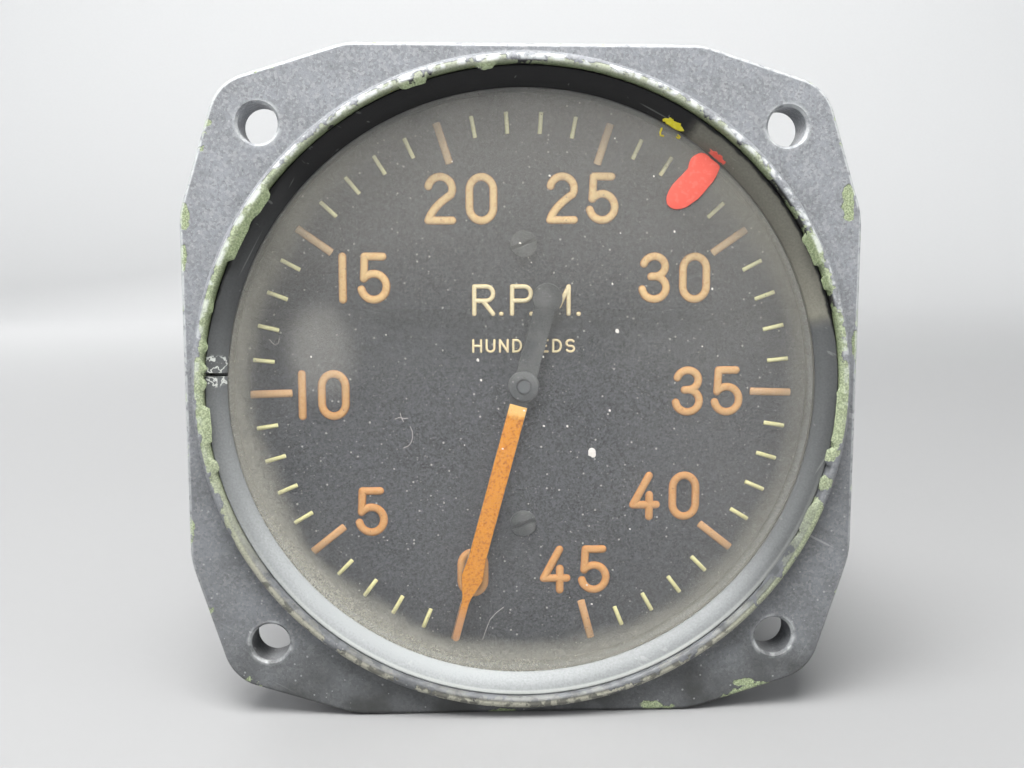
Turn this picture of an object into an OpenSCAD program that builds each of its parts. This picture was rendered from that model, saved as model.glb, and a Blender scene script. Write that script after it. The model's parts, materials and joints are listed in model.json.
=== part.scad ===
// Electric aircraft tachometer indicator for a round panel cut-out.
// The front faces -Y, the depth runs along +Y and +Z is up. The origin is the
// centre of the four mounting holes on the front face of the flange.

/* [Flange] */
// Distance between neighbouring mounting holes, on a square
hole_spacing = 62.87; // [60:0.01:70]
// Diameter of each mounting hole
hole_d = 4.7; // [3.5:0.1:6]
// Radius of the ear round each mounting hole
ear_r = 5.9; // [5:0.1:7]
// How far the flange's flats stand out past the front rim
flange_lip = 1.2; // [0.6:0.1:4]
// Length of each straight flat of the flange
flat_len = 42; // [32:1:46]
// Blend radius between a flat and the slant beside it
flat_blend_r = 11; // [4:1:20]
// Thickness of the flange
flange_t = 4.8; // [3:0.1:8]

/* [Rim and barrel] */
// Outside diameter of the round front rim
rim_d = 79.4; // [76:0.1:82]
// How far the rim stands in front of the flange
rim_h = 1.9; // [1.4:0.1:4]
// Width of the rim's rounded crest
rim_w = 1.45; // [1:0.05:2]
// Width of the inside ledge that carries the glass
ledge_w = 2; // [1.5:0.1:4]
// Wall thickness of the barrel
barrel_wall = 2.3; // [1.5:0.1:4]
// Free space behind the movement, for the leads
rear_bay = 14.8; // [13:0.1:25]

/* [Glass and retaining ring] */
// Depth of the retaining ring below the rim's crest
ring_recess = 0.8; // [0.4:0.1:1.5]
// Thickness of the retaining ring, front to back
ring_t = 1.8; // [1.6:0.1:3]
// Width of the retaining ring's visible sloping face
ring_face_w = 1.95; // [1.2:0.05:3]
// Depth of the groove that holds the ring
groove_depth = 0.75; // [0.4:0.05:1]
// Width of that groove's lip on the ring
groove_w = 0.8; // [0.5:0.1:1]
// Width of the split in the ring
ring_split = 2.6; // [1:0.1:5]
// Clock angle of the split, clockwise from the top
ring_split_angle = 273; // [0:1:359]
// Thickness of the cover glass
glass_t = 1.8; // [1.5:0.1:4]
// Thickness of the rubber gasket behind the glass
gasket_t = 0.6; // [0.4:0.1:1.5]

/* [Dial and pointer] */
// Thickness of the dial
dial_t = 0.8; // [0.5:0.1:2]
// Radius of the hole in the middle of the dial
dial_hole_r = 1.6; // [1.2:0.1:2.4]
// Distance of each dial screw from the centre
dial_screw_pos = 17.6; // [12:0.1:22]
// Diameter of a dial screw's head
dial_head_d = 3.3; // [2.4:0.1:4]
// Height of a dial screw's head
dial_head_h = 0.45; // [0.3:0.05:0.5]
// Diameter of a dial screw's shank
dial_shank_d = 1.6; // [1:0.1:2]
// Clock angle at which the pointer reads zero
zero_angle = 195; // [180:1:230]
// Reach of the pointer's tip from the centre
pointer_reach = 33.7; // [31.5:0.1:35]
// Distance from the centre to the widest place of the spear
pointer_spear = 25; // [18:0.1:26.5]
// Distance from the centre to the start of the needle
pointer_needle = 28.2; // [27:0.1:31]
// Width of the pointer's bar
pointer_w = 2.3; // [1:0.1:3]
// Width of the pointer at the spear
pointer_spear_w = 2.8; // [2:0.1:4]
// Width of the pointer's tip
pointer_tip_w = 1; // [0.4:0.1:1.6]
// Distance from the centre to the tail's balance disc
pointer_tail = 11.3; // [8:0.1:14]
// Radius of the tail's balance disc
pointer_tail_r = 1.87; // [1.3:0.01:3]
// Thickness of the pointer
pointer_t = 0.5; // [0.3:0.1:0.7]
// Space between the glass and the pointer's hub
hub_gap = 0.45; // [0.35:0.05:2]
// How far the hub stands in front of the pointer
hub_face = 0.35; // [0.2:0.05:1]
// Radius of the pointer's hub
hub_r = 1.9; // [1.5:0.1:2.2]
// Space between the pointer and the dial
pointer_lift = 0.8; // [0.8:0.1:2]

/* [Pointer staff and hairspring] */
// Diameter of the pointer's staff
staff_d = 1.5; // [1:0.1:2]
// Outside diameter of the two staff bushes
bush_d = 5; // [4:0.1:7]
// How far a bush stands out behind its plate
bush_out = 0.6; // [0.3:0.1:0.8]
// Radius of the hairspring's collet
collet_r = 2; // [1.6:0.1:3]
// Radius of the hairspring's outer end
hair_outer_r = 8.8; // [7:0.1:11]
// Number of turns in the hairspring
hair_turns = 6; // [3:1:8]
// Thickness of the hairspring's ribbon
hair_t = 0.2; // [0.1:0.05:0.3]
// Height of the hairspring's ribbon
hair_h = 1; // [0.5:0.1:1.5]
// Diameter of the stud that holds the hairspring's outer end
stud_d = 1.6; // [1:0.1:2.5]
// Reach of the stop arm from the centre
stop_reach = 6.8; // [5:0.1:7]
// Width of the stop arm
stop_w = 1.2; // [0.8:0.1:1.6]
// Diameter of the stop pin
stop_pin_d = 1.2; // [0.8:0.1:1.6]

/* [Drag element] */
// Thickness of the drag disc
drag_t = 0.8; // [0.5:0.1:1.5]
// Air gap on each side of the drag disc
drag_gap = 0.6; // [0.4:0.1:1.5]
// Radius of the brass hub that holds the drag disc
drag_hub_r = 2.6; // [1.8:0.1:3]
// Number of magnets on each plate
magnet_count = 6; // [4:1:8]
// Radius of a drag magnet
magnet_r = 3.4; // [2:0.1:4]
// Length of a drag magnet
magnet_len = 2.3; // [2:0.1:4]
// Thickness of the magnet plates
magnet_plate_t = 1.5; // [1:0.1:3]
// Radius of the pillars between the magnet plates
pillar_r = 1.2; // [0.8:0.1:1.6]
// Radius of the hole in the front magnet plate
magnet_hole_r = 3.5; // [3.2:0.1:6]
// Radius of the hub on the rear magnet plate
magnet_hub_r = 5; // [3.5:0.1:5.5]
// Length of the hub on the rear magnet plate
magnet_hub_len = 4; // [2:0.1:4.5]

/* [Frame] */
// Thickness of the front plate behind the dial
front_plate_t = 2; // [1.5:0.1:4]
// Space between the front plate and the bridge plate
spring_bay = 10.6; // [10:0.1:16]
// Thickness of the bridge plate
bridge_t = 2; // [1.5:0.1:4]
// Space between the bridge plate and the motor's front shield
drag_bay = 17; // [16:0.1:26]
// How far the tie rods stand in from the barrel's inside wall
tie_inset = 6.3; // [6:0.1:8]
// Diameter of the tie rods
tie_d = 2.5; // [1.6:0.1:3.5]
// Outside radius of the spacers on the tie rods
spacer_r = 2.4; // [2:0.1:3]
// Height of the nuts on the tie rods
nut_h = 2.4; // [1.5:0.1:4]
// Radius of a nut across its corners
nut_r = 2.8; // [2.5:0.1:3.4]
// Radius of the lugs inside the barrel
lug_r = 3; // [2.5:0.1:4]
// Length of the lugs inside the barrel
lug_len = 7; // [5:0.1:10]
// Diameter of the movement's and the rear cover's screws
screw_d = 2.5; // [2:0.1:3]
// Diameter of those screws' heads
screw_head_d = 4.8; // [4:0.1:6]
// Depth of a countersunk head
csk_h = 1.2; // [0.8:0.1:1.4]

/* [Motor] */
// Bore of the stator
stator_bore_d = 28; // [22:0.1:32]
// Length of the stator's iron core
core_len = 14; // [8:0.1:20]
// Depth of a winding slot behind the tooth tips
slot_depth = 5.95; // [4:0.05:7]
// Depth of the band of iron outside the slots
back_iron = 5.6; // [3:0.1:7]
// Depth of the tooth tips at the bore
tooth_tip = 1.4; // [1:0.1:2.5]
// Width of a winding slot
slot_w = 3; // [2:0.1:4]
// Width of a slot's mouth at the bore
slot_mouth = 1.2; // [0.6:0.1:2]
// Number of winding slots
slot_count = 12; // [6:1:15]
// Length of the winding's end turns past the core
end_turn = 6; // [3:0.1:7]
// Space between the core and each shield
shield_bay = 8; // [7.5:0.1:14]
// Air gap between the rotor and the stator
air_gap = 0.5; // [0.3:0.05:1]
// Length of the rotor's magnet
rotor_len = 11; // [6:0.1:14]
// Thickness of each steel disc beside the rotor's magnet
hysteresis_t = 2.5; // [1:0.1:3]
// Diameter of the rotor shaft between the bearings
shaft_d = 6; // [5.4:0.1:6.8]

/* [Ball bearings] */
// Bore of each ball bearing
bearing_bore = 4.763; // [4:0.001:5]
// Outside diameter of each ball bearing
bearing_od = 12.7; // [12:0.1:14]
// Width of each ball bearing
bearing_w = 3.967; // [3.8:0.001:5]
// Diameter of a ball
ball_d = 2.381; // [2:0.001:2.5]
// Number of balls in a bearing
ball_count = 8; // [5:1:8]
// Thickness of the spring washer behind the rear bearing
washer_t = 0.3; // [0.2:0.05:1]
// Thickness of the lip that stops each bearing
shield_lip = 1; // [0.6:0.1:2]

/* [Rear cover and receptacle] */
// Thickness of the rear cover
cover_t = 3; // [2.5:0.1:5]
// Thickness of the rear gasket
rear_gasket_t = 0.5; // [0.3:0.1:1]
// Number of rear cover screws
cover_screw_count = 4; // [3:1:6]
// Height of the rear screws' heads
head_h = 1.9; // [1:0.1:3]
// Width of the receptacle's square flange
shell_flange_w = 30.2; // [29:0.1:34]
// Thickness of the receptacle's flange
shell_flange_t = 3; // [2:0.1:4]
// Distance between the receptacle's screws, on a square
shell_spacing = 23; // [22:0.1:25]
// Diameter of the receptacle's screws
shell_screw_d = 2.8; // [2:0.1:3.2]
// Outside diameter of the receptacle's thread
thread_d = 22.22; // [20:0.01:23]
// Pitch of the receptacle's thread
thread_pitch = 1.27; // [0.8:0.01:2]
// Depth of the receptacle's thread
thread_depth = 0.6; // [0.3:0.05:0.8]
// Length of the receptacle's shell behind its flange
shell_len = 14; // [12:0.1:20]
// Bore of the receptacle's shell
shell_bore_d = 18; // [16:0.1:19]
// Height of the insulator inside the shell
insert_h = 5.5; // [4:0.1:7]
// Distance of each contact pin from the axis
pin_circle_r = 5; // [4.4:0.1:6]
// Diameter of the contact pins
pin_d = 1.58; // [1:0.01:2]
// Length of the contact pins in front of the insulator
pin_out = 6; // [4:0.1:7]
// Radius of a pin's solder cup
cup_r = 1.3; // [1.1:0.1:1.8]
// Length of a pin's solder cup
cup_len = 6; // [4:0.1:7]
// Radius of the stator's leads
lead_r = 0.6; // [0.3:0.05:0.8]

/* [Hidden] */
// Clearances shared by the pieces that fit each other
fit_gap = 0.02;
running_gap = 0.03;
loose_gap = 0.2;
dial_gap = 0.4;
ball_gap = 0.06;
end_gap = 0.3;
swing_gap = 3;
cut = 1;
$fn = 96;

// Radii worked out from the rim inwards
hole_pos = hole_spacing / 2;
rim_r = rim_d / 2;
flange_half = rim_r + flange_lip;
bore_r = rim_r - rim_w;
chamber_r = bore_r - ledge_w;
barrel_r = chamber_r + barrel_wall;
glass_r = bore_r - loose_gap;
ring_r = bore_r - fit_gap - loose_gap / 2;
ring_edge = 0.3;
ring_in_r = ring_r - ring_edge - ring_face_w;
dial_r = chamber_r - dial_gap;

// Depths worked out from the rim's crest to the back of the dial
ring_front = ring_recess - rim_h;
glass_front = ring_front + ring_t;
glass_back = glass_front + glass_t;
ledge_y = glass_back + gasket_t;
hub_front = glass_back + hub_gap;
pointer_front = hub_front + hub_face;
pointer_back = pointer_front + pointer_t;
dial_front = pointer_back + pointer_lift;
dial_back = dial_front + dial_t;
hub_back = dial_front - dial_gap;

// Depths of the movement's plates and bays
plate_back = dial_back + front_plate_t;
bridge_front = plate_back + spring_bay;
bridge_back = bridge_front + bridge_t;
shield_front = bridge_back + drag_bay;
front_bearing_y = shield_front + shield_lip;
front_shield_back = front_bearing_y + bearing_w;
core_front = front_shield_back + shield_bay;
core_back = core_front + core_len;
rear_bearing_y = core_back + shield_bay;
washer_y = rear_bearing_y + bearing_w;
rear_lip_y = washer_y + washer_t;
rear_shield_back = rear_lip_y + shield_lip;
case_back = rear_shield_back + rear_bay;
cover_front = case_back + rear_gasket_t;
cover_back = cover_front + cover_t;

// Staff, hairspring and stops
staff_r = staff_d / 2;
bush_r = bush_d / 2;
bush_bore_r = staff_r + running_gap;
front_bush_back = plate_back + bush_out;
rear_bush_back = bridge_back + bush_out;
rear_bush_front = bridge_front - bush_out;
hair_front = plate_back + 3.6;
hair_mid_r = collet_r + fit_gap + hair_t / 2;
hair_back = hair_front + hair_h;
hair_steps = 24 * hair_turns;
stop_front = hair_back + 1.4;
stop_t = 1;
stop_pin_pos = stop_reach - stop_pin_d / 2 - 0.2;
collet_front = hair_front - 0.6;
collet_back = hair_back + 0.6;
stud_pos = hair_outer_r + hair_t / 2 + stud_d / 2 + fit_gap;
stud_front = hair_front - 0.6;

// Tie rods, lugs and screws
tie_angles = [45, 135, 225, 315];
lug_angles = [0, 120, 240];
tie_pos = chamber_r - tie_inset;
tie_r = tie_d / 2;
lug_pos = chamber_r - lug_r + 0.4;
screw_r = screw_d / 2;
screw_head_r = screw_head_d / 2;
tapped_r = screw_r + fit_gap;
plate_r = tie_pos + spacer_r + 0.6;
front_plate_r = chamber_r - dial_gap;
screw_reach = lug_len - 1;
lug_notch_r = lug_r + 0.6;

// Drag element
magnet_plate_r = tie_pos - spacer_r - swing_gap;
pillar_pos = magnet_plate_r - pillar_r - 0.4;
drag_r = pillar_pos - pillar_r - 1;
magnet_pos = drag_r - magnet_r - 1;
magnet_plate_y = rear_bush_back + drag_gap;
front_magnet_y = magnet_plate_y + magnet_plate_t;
drag_front = front_magnet_y + magnet_len + drag_gap;
drag_back = drag_front + drag_t;
rear_magnet_y = drag_back + drag_gap;
rear_magnet_plate_y = rear_magnet_y + magnet_len;
magnet_hub_y = rear_magnet_plate_y + magnet_plate_t;
drag_hub_front = drag_front - 1.4;
staff_back = drag_back + 0.4;

// Motor
core_ear_r = spacer_r + 0.8;
stator_bore_r = stator_bore_d / 2;
slot_in_r = stator_bore_r + tooth_tip;
slot_out_r = slot_in_r + slot_depth;
core_r = slot_out_r + back_iron;
wire_gap = 0.1;
coil_in_r = slot_in_r + wire_gap;
coil_out_r = slot_out_r - wire_gap;
coil_round = min(end_turn, coil_out_r - coil_in_r) / 3;
rotor_r = stator_bore_r - air_gap;
rotor_mid = (core_front + core_back) / 2;
rotor_front = rotor_mid - rotor_len / 2;
rotor_back = rotor_mid + rotor_len / 2;
shaft_r = shaft_d / 2;
journal_r = bearing_bore / 2 - fit_gap;
shaft_front = rear_magnet_plate_y + 0.3;
shaft_back = rear_shield_back + 1.5;
shaft_bore_r = journal_r + fit_gap;

// Ball bearings
pitch_r = (bearing_bore + bearing_od) / 4;
ball_r = ball_d / 2;
groove_r = ball_r + ball_gap;
race_in_r = pitch_r - 0.36 * ball_d;
race_out_r = pitch_r + 0.36 * ball_d;
cage_half_t = 0.25 * ball_d;
cage_rail = 0.4;
cage_w = 2 * (groove_r + cage_rail);
seat_r = bearing_od / 2 + fit_gap;
lip_r = race_out_r;

// Rear cover, receptacle and leads
cover_r = barrel_r - loose_gap;
cover_angles = [for (i = [0 : cover_screw_count - 1]) 45 + i * 360 / cover_screw_count];
shell_back = cover_back + shell_flange_t;
shell_end = shell_back + shell_len;
thread_r = thread_d / 2;
thread_runout = 2.2;
thread_turns = floor((shell_len - 2 * thread_runout) / thread_pitch);
shell_bore_r = shell_bore_d / 2;
insert_r = shell_bore_r - fit_gap;
insert_front = cover_front - 0.4;
insert_back = shell_back + insert_h;
cover_hole_r = shell_bore_r + loose_gap;
shell_screw_pos = shell_spacing / 2;
shell_screw_r = shell_screw_d / 2;
shell_head_r = shell_screw_r + 1.2;
shell_corner_r = (shell_flange_w - shell_spacing) / 2;
pin_angles = [90, 210, 330];
pin_r = pin_d / 2;
cup_front = insert_front - cup_len;
cup_bore_r = lead_r + fit_gap;
cup_bore_len = 2.5;
lead_pos = (coil_in_r + coil_out_r) / 2;
lead_start = core_back + end_turn;
lead_turn = rear_shield_back + 2.2;
lead_hole_r = lead_r + 1;
lead_end = cup_front - 1.2;
bend_r = lead_r + 0.06;

// Placing helpers
// Extrudes a flat drawing of x and z from depth y0 to depth y1
module plate(y0, y1) {
    translate([0, y1, 0])
        rotate([90, 0, 0])
            linear_extrude(y1 - y0)
                children();
}
// Turns a drawing of radius and depth round the instrument's axis
module turned() {
    rotate([-90, 0, 0])
        rotate_extrude()
            children();
}
// A round bar along the axis
module disc(r, y0, y1) {
    plate(y0, y1)
        circle(r);
}
// A round tube along the axis
module ring(r_out, r_in, y0, y1) {
    plate(y0, y1)
        difference() {
            circle(r_out);
            circle(r_in);
        }
}
// Moves the children out along a clock angle, clockwise from the top
module at_clock(angle, r) {
    rotate([0, angle, 0])
        translate([0, 0, r])
            children();
}
// Repeats the children at each clock angle of a list
module at_each(angles, r) {
    for (angle = angles)
        at_clock(angle, r)
            children();
}
// A straight round rod between two points
module rod(from, to, r) {
    way = to - from;
    translate(from)
        rotate([0, acos(way.z / norm(way)), atan2(way.y, way.x)])
            cylinder(r = r, h = norm(way));
}

// Flange outline, one quarter and then all four
slant_from = [flat_len / 2, flange_half];
slant_way = [hole_pos, hole_pos] - slant_from;
slant_angle = atan2(slant_way.y, slant_way.x) + asin(ear_r / norm(slant_way));
slant_len = sqrt(slant_way * slant_way - ear_r * ear_r);
slant_to = slant_from + slant_len * [cos(slant_angle), sin(slant_angle)];
blend_len = flat_blend_r * tan(-slant_angle / 2);
blend_mid = slant_from - [blend_len, flat_blend_r];
blend_steps = 4;
blend_points = [for (i = [0 : blend_steps])
    blend_mid + flat_blend_r * [sin(-slant_angle * i / blend_steps), cos(-slant_angle * i / blend_steps)]];
quarter_points = concat(blend_points, [slant_to, [slant_to.y, slant_to.x]],
    [for (i = [blend_steps : -1 : 0]) [blend_points[i].y, blend_points[i].x]]);
function turn_point(p, quarter) = quarter == 0 ? p : turn_point([p.y, -p.x], quarter - 1);
outline_points = [for (quarter = [0 : 3]) for (p = quarter_points) turn_point(p, quarter)];
module at_holes() {
    for (x = [-hole_pos, hole_pos], z = [-hole_pos, hole_pos])
        translate([x, z])
            children();
}
module flange_outline() {
    polygon(outline_points);
    at_holes()
        circle(ear_r);
}

// Case: flange, rim, barrel, ledge, ring groove and lugs in one casting
module case() {
    color("#2f3237")
        difference() {
            union() {
                difference() {
                    union() {
                        plate(0, flange_t)
                            flange_outline();
                        disc(barrel_r, 0, case_back);
                        rim();
                    }
                    disc(bore_r, -rim_h - cut, ledge_y);
                    disc(bore_r + groove_depth, glass_front - groove_w - fit_gap, glass_front + fit_gap);
                    disc(chamber_r, 0, case_back + cut);
                }
                at_each(lug_angles, lug_pos)
                    disc(lug_r, plate_back, plate_back + lug_len);
                at_each(cover_angles, lug_pos)
                    disc(lug_r, case_back - lug_len, case_back);
            }
            plate(-cut, flange_t + cut)
                at_holes()
                    circle(hole_d / 2);
            at_each(lug_angles, lug_pos)
                disc(tapped_r, plate_back - cut, plate_back + screw_reach + end_gap);
            at_each(cover_angles, lug_pos)
                disc(tapped_r, case_back - screw_reach - end_gap, case_back + cut);
        }
}
module rim() {
    crest_r = rim_w / 2;
    turned() {
        translate([bore_r, crest_r - rim_h])
            square([rim_w, rim_h - crest_r + flange_t / 2]);
        translate([bore_r + crest_r, crest_r - rim_h])
            circle(crest_r);
    }
}

// Glass, gasket and the split ring that holds them in the rim
module retaining_ring() {
    color("#101113")
        difference() {
            turned()
                polygon([[ring_r, ring_front + ring_edge], [ring_r - ring_edge, ring_front],
                    [ring_in_r, glass_front - ring_edge], [ring_in_r, glass_front],
                    [bore_r + groove_depth - fit_gap, glass_front],
                    [bore_r + groove_depth - fit_gap, glass_front - groove_w],
                    [ring_r, glass_front - groove_w]]);
            at_clock(ring_split_angle, bore_r)
                translate([-ring_split / 2, ring_front - cut, -bore_r / 2])
                    cube([ring_split, ring_t + 2 * cut, bore_r]);
        }
}
module cover_glass() {
    color("#dfe8ea", 0.3)
        disc(glass_r, glass_front, glass_back);
}
module glass_gasket() {
    color("#1a1a1a")
        ring(glass_r, chamber_r, glass_back, ledge_y);
}

// Dial and its two screws
module dial() {
    color("#2b2b2c")
        plate(dial_front, dial_back)
            difference() {
                circle(dial_r);
                circle(dial_hole_r);
                for (z = [-dial_screw_pos, dial_screw_pos])
                    translate([0, z])
                        circle(dial_shank_d / 2 + fit_gap);
            }
}
module dial_screws() {
    slot_width = dial_head_d / 5;
    slot_angle = 20;
    color("#45464a")
        at_each([0, 180], dial_screw_pos) {
            difference() {
                disc(dial_head_d / 2, dial_front - dial_head_h, dial_front);
                rotate([0, -slot_angle, 0])
                    translate([-dial_head_d, dial_front - dial_head_h - cut, -slot_width / 2])
                        cube([2 * dial_head_d, cut + dial_head_h / 2, slot_width]);
            }
            disc(dial_shank_d / 2, dial_front, plate_back - end_gap);
        }
}

// Pointer with its balance tail, lying at the zero mark
module pointer() {
    bar = pointer_w / 2;
    spear = pointer_spear_w / 2;
    tip = pointer_tip_w / 2;
    color("#e08a2c")
        rotate([0, zero_angle, 0])
            plate(pointer_front, pointer_back)
                difference() {
                    union() {
                        polygon([[-bar, -pointer_tail], [bar, -pointer_tail],
                            [bar, pointer_spear - pointer_w], [spear, pointer_spear],
                            [tip, pointer_needle], [tip, pointer_reach - tip],
                            [-tip, pointer_reach - tip], [-tip, pointer_needle],
                            [-spear, pointer_spear], [-bar, pointer_spear - pointer_w]]);
                        translate([0, -pointer_tail])
                            circle(pointer_tail_r);
                        translate([0, pointer_reach - tip])
                            circle(tip);
                        circle(hub_r + hub_face);
                    }
                    circle(hub_r - hub_face + fit_gap);
                }
}
module pointer_hub() {
    color("#1b1b1c")
        difference() {
            turned()
                polygon([[0, hub_front], [hub_r, hub_front], [hub_r, pointer_front],
                    [hub_r - hub_face, pointer_front], [hub_r - hub_face, hub_back], [0, hub_back]]);
            disc(staff_r + fit_gap, hub_front - cut, hub_back + cut);
        }
}
module pointer_staff() {
    color("#b9bcc0")
        disc(staff_r, hub_front - 0.1, staff_back);
}

// Staff bushes in the front plate and the bridge plate
module front_bush() {
    color("#b08d48")
        ring(bush_r, bush_bore_r, dial_back, front_bush_back);
}
module rear_bush() {
    color("#b08d48")
        ring(bush_r, bush_bore_r, rear_bush_front, rear_bush_back);
}

// Hairspring: a flat spiral from the collet on the staff to the stud on the bridge
function hair_point(i, side) =
    let (r = hair_mid_r + (hair_outer_r - hair_mid_r) * i / hair_steps + side * hair_t / 2,
        turn = 360 * hair_turns * i / hair_steps)
    [r * sin(turn), r * cos(turn)];
module hairspring() {
    color("#7d6a4a")
        plate(hair_front, hair_back)
            polygon(concat([for (i = [0 : hair_steps]) hair_point(i, 1)],
                [for (i = [hair_steps : -1 : 0]) hair_point(i, -1)]));
}
module hairspring_collet() {
    color("#b08d48")
        ring(collet_r, staff_r + fit_gap, collet_front, collet_back);
}
module hairspring_stud() {
    color("#8f9296")
        at_clock(0, stud_pos)
            disc(stud_d / 2, stud_front, bridge_front);
}

// Stop arm on the staff and the fixed pin that limits it
module stop_arm() {
    color("#8f9296")
        rotate([0, zero_angle, 0])
            plate(stop_front, stop_front + stop_t)
                difference() {
                    union() {
                        circle(collet_r);
                        translate([-stop_w / 2, 0])
                            square([stop_w, stop_reach]);
                    }
                    circle(staff_r + fit_gap);
                }
}
module stop_pin() {
    color("#8f9296")
        at_clock(180, stop_pin_pos)
            disc(stop_pin_d / 2, stop_front - 0.4, bridge_front);
}

// Copper drag disc on the back of the staff
module drag_disc() {
    color("#b4632f")
        ring(drag_r, staff_r + fit_gap, drag_front, drag_back);
}
module drag_disc_hub() {
    color("#b08d48")
        ring(drag_hub_r, staff_r + fit_gap, drag_hub_front, drag_front);
}

// Frame plates, tie rods, spacers and the screws that hold the movement in the case
module frame_plate(r, y0, y1) {
    difference() {
        disc(r, y0, y1);
        at_each(tie_angles, tie_pos)
            disc(tie_r + fit_gap, y0 - cut, y1 + cut);
        children();
    }
}
module lug_notches(y0, y1) {
    at_each(lug_angles, lug_pos)
        disc(lug_notch_r, y0 - cut, y1 + cut);
}
module csk_cone(y0, grow) {
    translate([0, y0, 0])
        rotate([-90, 0, 0])
            cylinder(r1 = screw_head_r + grow, r2 = screw_r + grow, h = csk_h);
}
module front_plate() {
    color("#a9a396")
        frame_plate(front_plate_r, dial_back, plate_back) {
            disc(bush_r + fit_gap, dial_back - cut, plate_back + cut);
            at_each([0, 180], dial_screw_pos)
                disc(dial_shank_d / 2 + fit_gap, dial_back - cut, plate_back + cut);
            at_each(lug_angles, lug_pos) {
                csk_cone(dial_back, fit_gap);
                disc(tapped_r, dial_back - cut, plate_back + cut);
            }
            at_each(tie_angles, tie_pos)
                csk_cone(dial_back, fit_gap);
        }
}
module bridge_plate() {
    color("#a9a396")
        frame_plate(plate_r, bridge_front, bridge_back) {
            disc(bush_r + fit_gap, bridge_front - cut, bridge_back + cut);
            lug_notches(bridge_front, bridge_back);
        }
}
module movement_screws() {
    color("#8f9296")
        at_each(lug_angles, lug_pos) {
            csk_cone(dial_back, 0);
            disc(screw_r, dial_back + csk_h, plate_back + screw_reach);
        }
}
module tie_rods() {
    color("#8f9296")
        at_each(tie_angles, tie_pos) {
            csk_cone(dial_back, 0);
            disc(tie_r, dial_back + csk_h, rear_shield_back + nut_h + 0.6);
        }
}
module tie_nuts() {
    color("#b08d48")
        at_each(tie_angles, tie_pos)
            plate(rear_shield_back, rear_shield_back + nut_h)
                difference() {
                    circle(nut_r, $fn = 6);
                    circle(tie_r + fit_gap);
                }
}
module spacers(y0, y1) {
    color("#c0b590")
        at_each(tie_angles, tie_pos)
            ring(spacer_r, tie_r + fit_gap, y0, y1);
}
module front_spacers() {
    spacers(plate_back, bridge_front);
}
module middle_spacers() {
    spacers(bridge_back, shield_front);
}
module motor_front_spacers() {
    spacers(front_shield_back, core_front);
}
module motor_rear_spacers() {
    spacers(core_back, rear_bearing_y);
}

// Turning magnets that drag the disc round
magnet_angles = [for (i = [0 : magnet_count - 1]) i * 360 / magnet_count];
pillar_angles = [30, 150, 270];
module magnets(y0) {
    color("#5c5f63")
        at_each(magnet_angles, magnet_pos)
            disc(magnet_r, y0, y0 + magnet_len);
}
module front_magnets() {
    magnets(front_magnet_y);
}
module rear_magnets() {
    magnets(rear_magnet_y);
}
module magnet_front_plate() {
    color("#84878b")
        ring(magnet_plate_r, magnet_hole_r, magnet_plate_y, front_magnet_y);
}
module magnet_rear_plate() {
    color("#84878b")
        difference() {
            union() {
                disc(magnet_plate_r, rear_magnet_plate_y, magnet_hub_y);
                disc(magnet_hub_r, rear_magnet_plate_y, magnet_hub_y + magnet_hub_len);
            }
            disc(shaft_bore_r, rear_magnet_plate_y - cut, magnet_hub_y + magnet_hub_len + cut);
        }
}
module magnet_pillars() {
    color("#b08d48")
        at_each(pillar_angles, pillar_pos)
            disc(pillar_r, front_magnet_y, rear_magnet_plate_y);
}

// Motor shields that carry the bearings
module front_shield() {
    color("#9b9ea2")
        frame_plate(plate_r, shield_front, front_shield_back) {
            disc(seat_r, front_bearing_y, front_shield_back + cut);
            disc(lip_r, shield_front - cut, front_bearing_y + cut);
            lug_notches(shield_front, front_shield_back);
        }
}
module rear_shield() {
    color("#9b9ea2")
        frame_plate(plate_r, rear_bearing_y, rear_shield_back) {
            disc(seat_r, rear_bearing_y - cut, rear_lip_y);
            disc(lip_r, rear_lip_y - cut, rear_shield_back + cut);
            at_each(pin_angles, lead_pos)
                disc(lead_hole_r, rear_bearing_y - cut, rear_shield_back + cut);
            lug_notches(rear_bearing_y, rear_shield_back);
        }
}

// Stator core with its slots, and the three-phase winding in them
slot_angles = [for (i = [0 : slot_count - 1]) i * 360 / slot_count];
module stator_core() {
    color("#6d7076")
        difference() {
            union() {
                disc(core_r, core_front, core_back);
                at_each(tie_angles, tie_pos)
                    disc(core_ear_r, core_front, core_back);
                at_each(tie_angles, 0)
                    translate([-core_ear_r, core_front, slot_out_r])
                        cube([2 * core_ear_r, core_len, tie_pos - slot_out_r]);
            }
            disc(stator_bore_r, core_front - cut, core_back + cut);
            at_each(tie_angles, tie_pos)
                disc(tie_r + fit_gap, core_front - cut, core_back + cut);
            at_each(slot_angles, 0) {
                translate([-slot_w / 2, core_front - cut, slot_in_r])
                    cube([slot_w, core_len + 2 * cut, slot_out_r - slot_in_r]);
                translate([-slot_mouth / 2, core_front - cut, stator_bore_r - cut])
                    cube([slot_mouth, core_len + 2 * cut, tooth_tip + 2 * cut]);
            }
        }
}
module end_coil(y0, y1) {
    turned() {
        translate([coil_in_r + coil_round, y0])
            square([coil_out_r - coil_in_r - 2 * coil_round, y1 - y0]);
        translate([coil_in_r, y0 + coil_round])
            square([coil_out_r - coil_in_r, y1 - y0 - 2 * coil_round]);
        for (r = [coil_in_r + coil_round, coil_out_r - coil_round], y = [y0 + coil_round, y1 - coil_round])
            translate([r, y])
                circle(coil_round);
    }
}
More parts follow.
